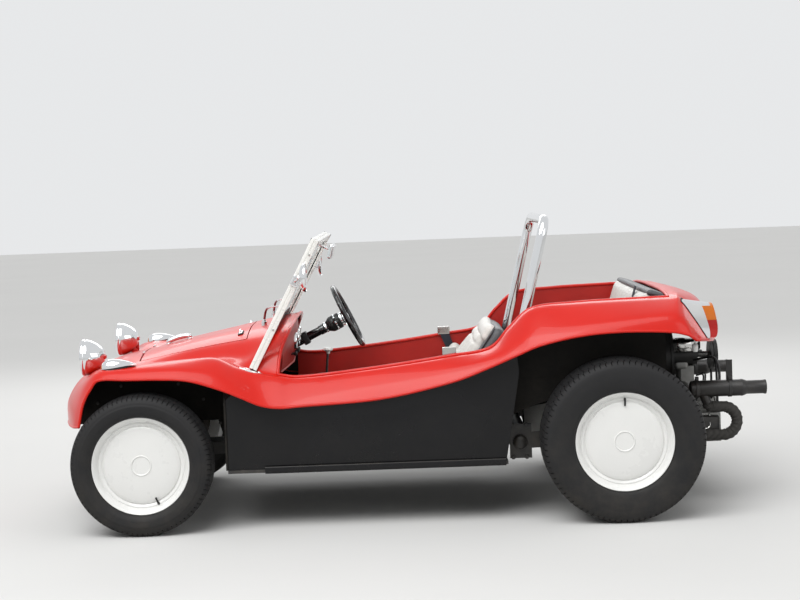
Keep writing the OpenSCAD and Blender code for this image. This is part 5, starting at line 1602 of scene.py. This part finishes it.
def build_exhaust():
    """Two black silencers with clamps and flared tips, fed by wrapped pipes that turn back below them."""
    tip_x, pipe, side, high, bend, low = REAR_X - 668, 21, 438, 505, 62, 300
    turn_x = tip_x + 190
    can = [(26, 0), (28, -0.8), (31, 0), (32, 3), (31, 7), (29.6, 14), (29.5, 84), (31, 86), (36, 100),
           (37, 104), (37, 110), (36, 113), (36, 322), (34, 328), (24, 332), (0, 332), (0, 92), (25, 92),
           (26, 60)]
    silencer = [spun(can, (tip_x, side, high), AHEAD, 48)]
    silencer += [spun([(36, 0), (39, 1), (39, 15), (36, 16)], (tip_x + x, side, high), AHEAD, 44, True)
                 for x in (150, 292)]
    silencer += [soft_block((tip_x + x, side - 8, high + 36), (tip_x + x + 16, side + 8, high + 54), 3, 8)
                 for x in (150, 292)]
    header = rounded([(ENGINE_X - 80, 300, CRANK_Z - 55), (ENGINE_X - 80, 300, CRANK_Z - 92),
                      (ENGINE_X - 140, side, CRANK_Z - 92), (ENGINE_X - 220, side, low),
                      (turn_x + 2, side, low)], 30, 8)
    a = np.linspace(-pi / 2, -3 * pi / 2, 30)
    loop = np.stack([turn_x + bend * np.cos(a), np.full(30, side), low + bend + bend * np.sin(a)], -1)
    rise = rounded([(turn_x, side, low + 2 * bend), (turn_x + 60, side, low + 2 * bend),
                    (turn_x + 90, side, high)], 24, 8)
    wrapped = np.concatenate([[(turn_x + 120, side, low), (turn_x + 60, side, low)], loop, rise[1:-1]])
    wrap = tube(wrapped, pipe + 3.5 + 1.2 * np.sign(np.sin(np.arange(len(wrapped)) * 2.2)), 24)
    hanger = plate([(-14, -8), (14, -8), (14, 80), (-14, 80)], -2, 2, [[1, 0, 0], [0, 0, 1], [0, 1, 0]],
                   (tip_x + 158, side, high + 44))
    make("exhaust_system", both_sides(*silencer, tube(header, pipe, 28), tube(rise, pipe, 24),
         painted(wrap, 1), hanger), "exhaust_black pipe_wrap", slot="black_steel", replaces=["exhaust"])


# ---------- floor, light and camera ----------

def area_light(name, place, aim, width, height, energy):
    """Soft rectangular lamp at a place in metres, facing a point."""
    data = bpy.data.lights.new(name, "AREA")
    data.shape = "RECTANGLE"
    data.size, data.size_y, data.energy = width, height, energy
    lamp = stand(name, data)
    axes = axes_along(np.asarray(place, float) - aim)
    lamp.matrix_world = Matrix.Translation(place) @ Matrix(axes.tolist()).to_4x4()


def build_stage():
    """Pale floor, pale surroundings with a soft sky for reflections, three large lamps and a sun."""
    half = 40.0
    corners = [(-half, -half, 0), (half, -half, 0), (half, half, 0), (-half, half, 0)]
    mesh = bpy.data.meshes.new("floor")
    mesh.from_pydata(corners, [], [(0, 1, 2, 3)])
    floor = stand("floor", mesh)
    finish("studio_floor", (0.68, 0.68, 0.67), 0.9, 60.0, 0.2, 0.97, 0.5, 0.0)
    mesh.materials.append(FINISHES["studio_floor"])
    world = bpy.data.worlds.new("studio")
    bpy.context.scene.world = world
    world.use_nodes = True
    tree = world.node_tree
    tree.nodes.clear()
    up = add(tree, "ShaderNodeSeparateXYZ", Vector=tree.nodes.new("ShaderNodeTexCoord").outputs["Generated"])
    height = spread(tree, up.outputs[2], 0.02, 0.5, 0.0, 1.0)
    sky = blend(tree, height, (0.22, 0.23, 0.24, 1), (1.0, 1.0, 1.0, 1))
    path = tree.nodes.new("ShaderNodeLightPath").outputs
    mirrored_ray = maths(tree, "MAXIMUM", path["Is Glossy Ray"], path["Is Transmission Ray"])
    seen = maths(tree, "MAXIMUM", path["Is Camera Ray"], mirrored_ray)
    surround = add(tree, "ShaderNodeBackground", Color=sky, Strength=0.5)
    behind = add(tree, "ShaderNodeBackground", Color=(0.80, 0.81, 0.82, 1), Strength=1.0)
    mixed = add(tree, "ShaderNodeMixShader", Fac=seen)
    tree.links.new(surround.outputs[0], mixed.inputs[1])
    tree.links.new(behind.outputs[0], mixed.inputs[2])
    out = tree.nodes.new("ShaderNodeOutputWorld")
    tree.links.new(mixed.outputs[0], out.inputs["Surface"])
    area_light("key", (2.5, 4.0, 5.0), (0, 0, 0.5), 5, 3, 150)
    area_light("fill", (-5.0, 4.5, 3.0), (0, 0, 0.5), 4, 3, 55)
    area_light("back", (0.5, -5.5, 4.0), (0, 0, 0.6), 6, 2.5, 110)
    data = bpy.data.lights.new("daylight", "SUN")
    data.energy, data.angle = 1.5, radians(50)
    lamp = stand("daylight", data)
    axes = axes_along(np.array([0.25, 0.55, 1.0]))
    lamp.matrix_world = Matrix(axes.tolist()).to_4x4()


def build_camera(place=(-1162, 7752, 1419), yaw=0.36, pitch=3.73, roll=-2.12, focal_share=2.1):
    """Camera on the car's left, nearly square to it. The focal share is the focal length over the frame's
    width."""
    y, p, r = (radians(a) for a in (yaw, pitch, roll))
    look = np.array([sin(y) * cos(p), -cos(y) * cos(p), -sin(p)])
    right = np.cross(look, [0, 0, 1])
    right /= np.linalg.norm(right)
    up = np.cross(right, look)
    across = cos(r) * right + sin(r) * up
    upward = cos(r) * up - sin(r) * right
    data = bpy.data.cameras.new("camera")
    data.sensor_width = 36
    data.lens = 36 * focal_share
    data.clip_end = 200
    camera = stand("camera", data)
    at = np.array(place) * MM + [ORIGIN_X, 0, 0]
    axes = np.stack([across, upward, -look], 1)
    camera.matrix_world = Matrix.Translation(at) @ Matrix(axes.tolist()).to_4x4()
    bpy.context.scene.camera = camera


# ---------- operators and panel ----------

class Step:
    """What every building step shares."""
    bl_options = {"REGISTER", "UNDO"}


class BUGGY_OT_stage(Step, bpy.types.Operator):
    """Adds the floor, the lamps and the camera"""
    bl_idname = "buggy.stage"
    bl_label = "Stage"

    def execute(self, context):
        build_finishes()
        build_stage()
        build_camera()
        return {"FINISHED"}


class BUGGY_OT_bodywork(Step, bpy.types.Operator):
    """Adds the front, side and rear skins"""
    bl_idname = "buggy.bodywork"
    bl_label = "Bodywork"

    def execute(self, context):
        build_bodywork()
        return {"FINISHED"}


class BUGGY_OT_hood(Step, bpy.types.Operator):
    """Adds the hood, its handle and its catches"""
    bl_idname = "buggy.hood"
    bl_label = "Hood"

    def execute(self, context):
        build_hood()
        return {"FINISHED"}


class BUGGY_OT_panels(Step, bpy.types.Operator):
    """Adds the side panels, inner walls and rear tub"""
    bl_idname = "buggy.panels"
    bl_label = "Panels and tub"

    def execute(self, context):
        build_side_panels()
        build_rear_tub()
        return {"FINISHED"}


class BUGGY_OT_windshield(Step, bpy.types.Operator):
    """Adds the windshield frame, its seals, wipers and mirrors"""
    bl_idname = "buggy.windshield"
    bl_label = "Windshield"

    def execute(self, context):
        build_windshield()
        build_wipers()
        build_mirrors()
        return {"FINISHED"}


class BUGGY_OT_roll_bar(Step, bpy.types.Operator):
    """Adds the roll bar"""
    bl_idname = "buggy.roll_bar"
    bl_label = "Roll bar"

    def execute(self, context):
        build_roll_bar()
        return {"FINISHED"}


class BUGGY_OT_lamps(Step, bpy.types.Operator):
    """Adds the headlights, turn signals and tail lamps"""
    bl_idname = "buggy.lamps"
    bl_label = "Lamps"

    def execute(self, context):
        build_headlights()
        build_turn_signals()
        build_tail_lamps()
        return {"FINISHED"}


class BUGGY_OT_seats(Step, bpy.types.Operator):
    """Adds the bucket seats, the rear bench and the belts"""
    bl_idname = "buggy.seats"
    bl_label = "Seats"

    def execute(self, context):
        build_seats()
        build_rear_bench()
        build_belts()
        return {"FINISHED"}


class BUGGY_OT_cockpit(Step, bpy.types.Operator):
    """Adds the steering wheel and column, dash, levers and mats"""
    bl_idname = "buggy.cockpit"
    bl_label = "Driver's place"

    def execute(self, context):
        build_steering_wheel()
        build_steering_column()
        build_dash()
        build_controls()
        return {"FINISHED"}


class BUGGY_OT_wheels(Step, bpy.types.Operator):
    """Adds the tyres and rims"""
    bl_idname = "buggy.wheels"
    bl_label = "Wheels"

    def execute(self, context):
        build_wheels()
        return {"FINISHED"}


class BUGGY_OT_running_gear(Step, bpy.types.Operator):
    """Adds suspension details and finishes the axles"""
    bl_idname = "buggy.running_gear"
    bl_label = "Running gear"

    def execute(self, context):
        build_running_gear()
        return {"FINISHED"}


class BUGGY_OT_engine(Step, bpy.types.Operator):
    """Adds the engine's details and the exhaust"""
    bl_idname = "buggy.engine"
    bl_label = "Engine and exhaust"

    def execute(self, context):
        build_engine_details()
        build_exhaust()
        return {"FINISHED"}


OPERATORS = (
    BUGGY_OT_stage, BUGGY_OT_bodywork, BUGGY_OT_hood, BUGGY_OT_panels, BUGGY_OT_windshield,
    BUGGY_OT_roll_bar, BUGGY_OT_lamps, BUGGY_OT_seats, BUGGY_OT_cockpit, BUGGY_OT_wheels,
    BUGGY_OT_running_gear, BUGGY_OT_engine,
)


class BUGGY_PT_panel(bpy.types.Panel):
    """Sizes, colours and building steps of the dune buggy"""
    bl_idname = "BUGGY_PT_panel"
    bl_label = "Dune buggy"
    bl_space_type = "VIEW_3D"
    bl_region_type = "UI"
    bl_category = "Buggy"

    def draw(self, context):
        for group in (context.scene.buggy_sizes, context.scene.buggy_colours):
            column = self.layout.column()
            for key in group.bl_rna.properties.keys():
                if key not in ("rna_type", "name"):
                    column.prop(group, key)
        for step in OPERATORS:
            self.layout.operator(step.bl_idname)


CLASSES = (BuggySizes, BuggyColours, BUGGY_PT_panel, *OPERATORS)


def register():
    for each in CLASSES:
        bpy.utils.register_class(each)
    bpy.types.Scene.buggy_sizes = PointerProperty(type=BuggySizes)
    bpy.types.Scene.buggy_colours = PointerProperty(type=BuggyColours)


def unregister():
    del bpy.types.Scene.buggy_colours
    del bpy.types.Scene.buggy_sizes
    for each in reversed(CLASSES):
        bpy.utils.unregister_class(each)


def main():
    """Builds every piece in order."""
    register()
    bpy.context.scene.view_settings.view_transform = "Standard"
    for step in OPERATORS:
        getattr(bpy.ops.buggy, step.bl_idname.split(".")[1])()


if __name__ == "__main__":
    main()
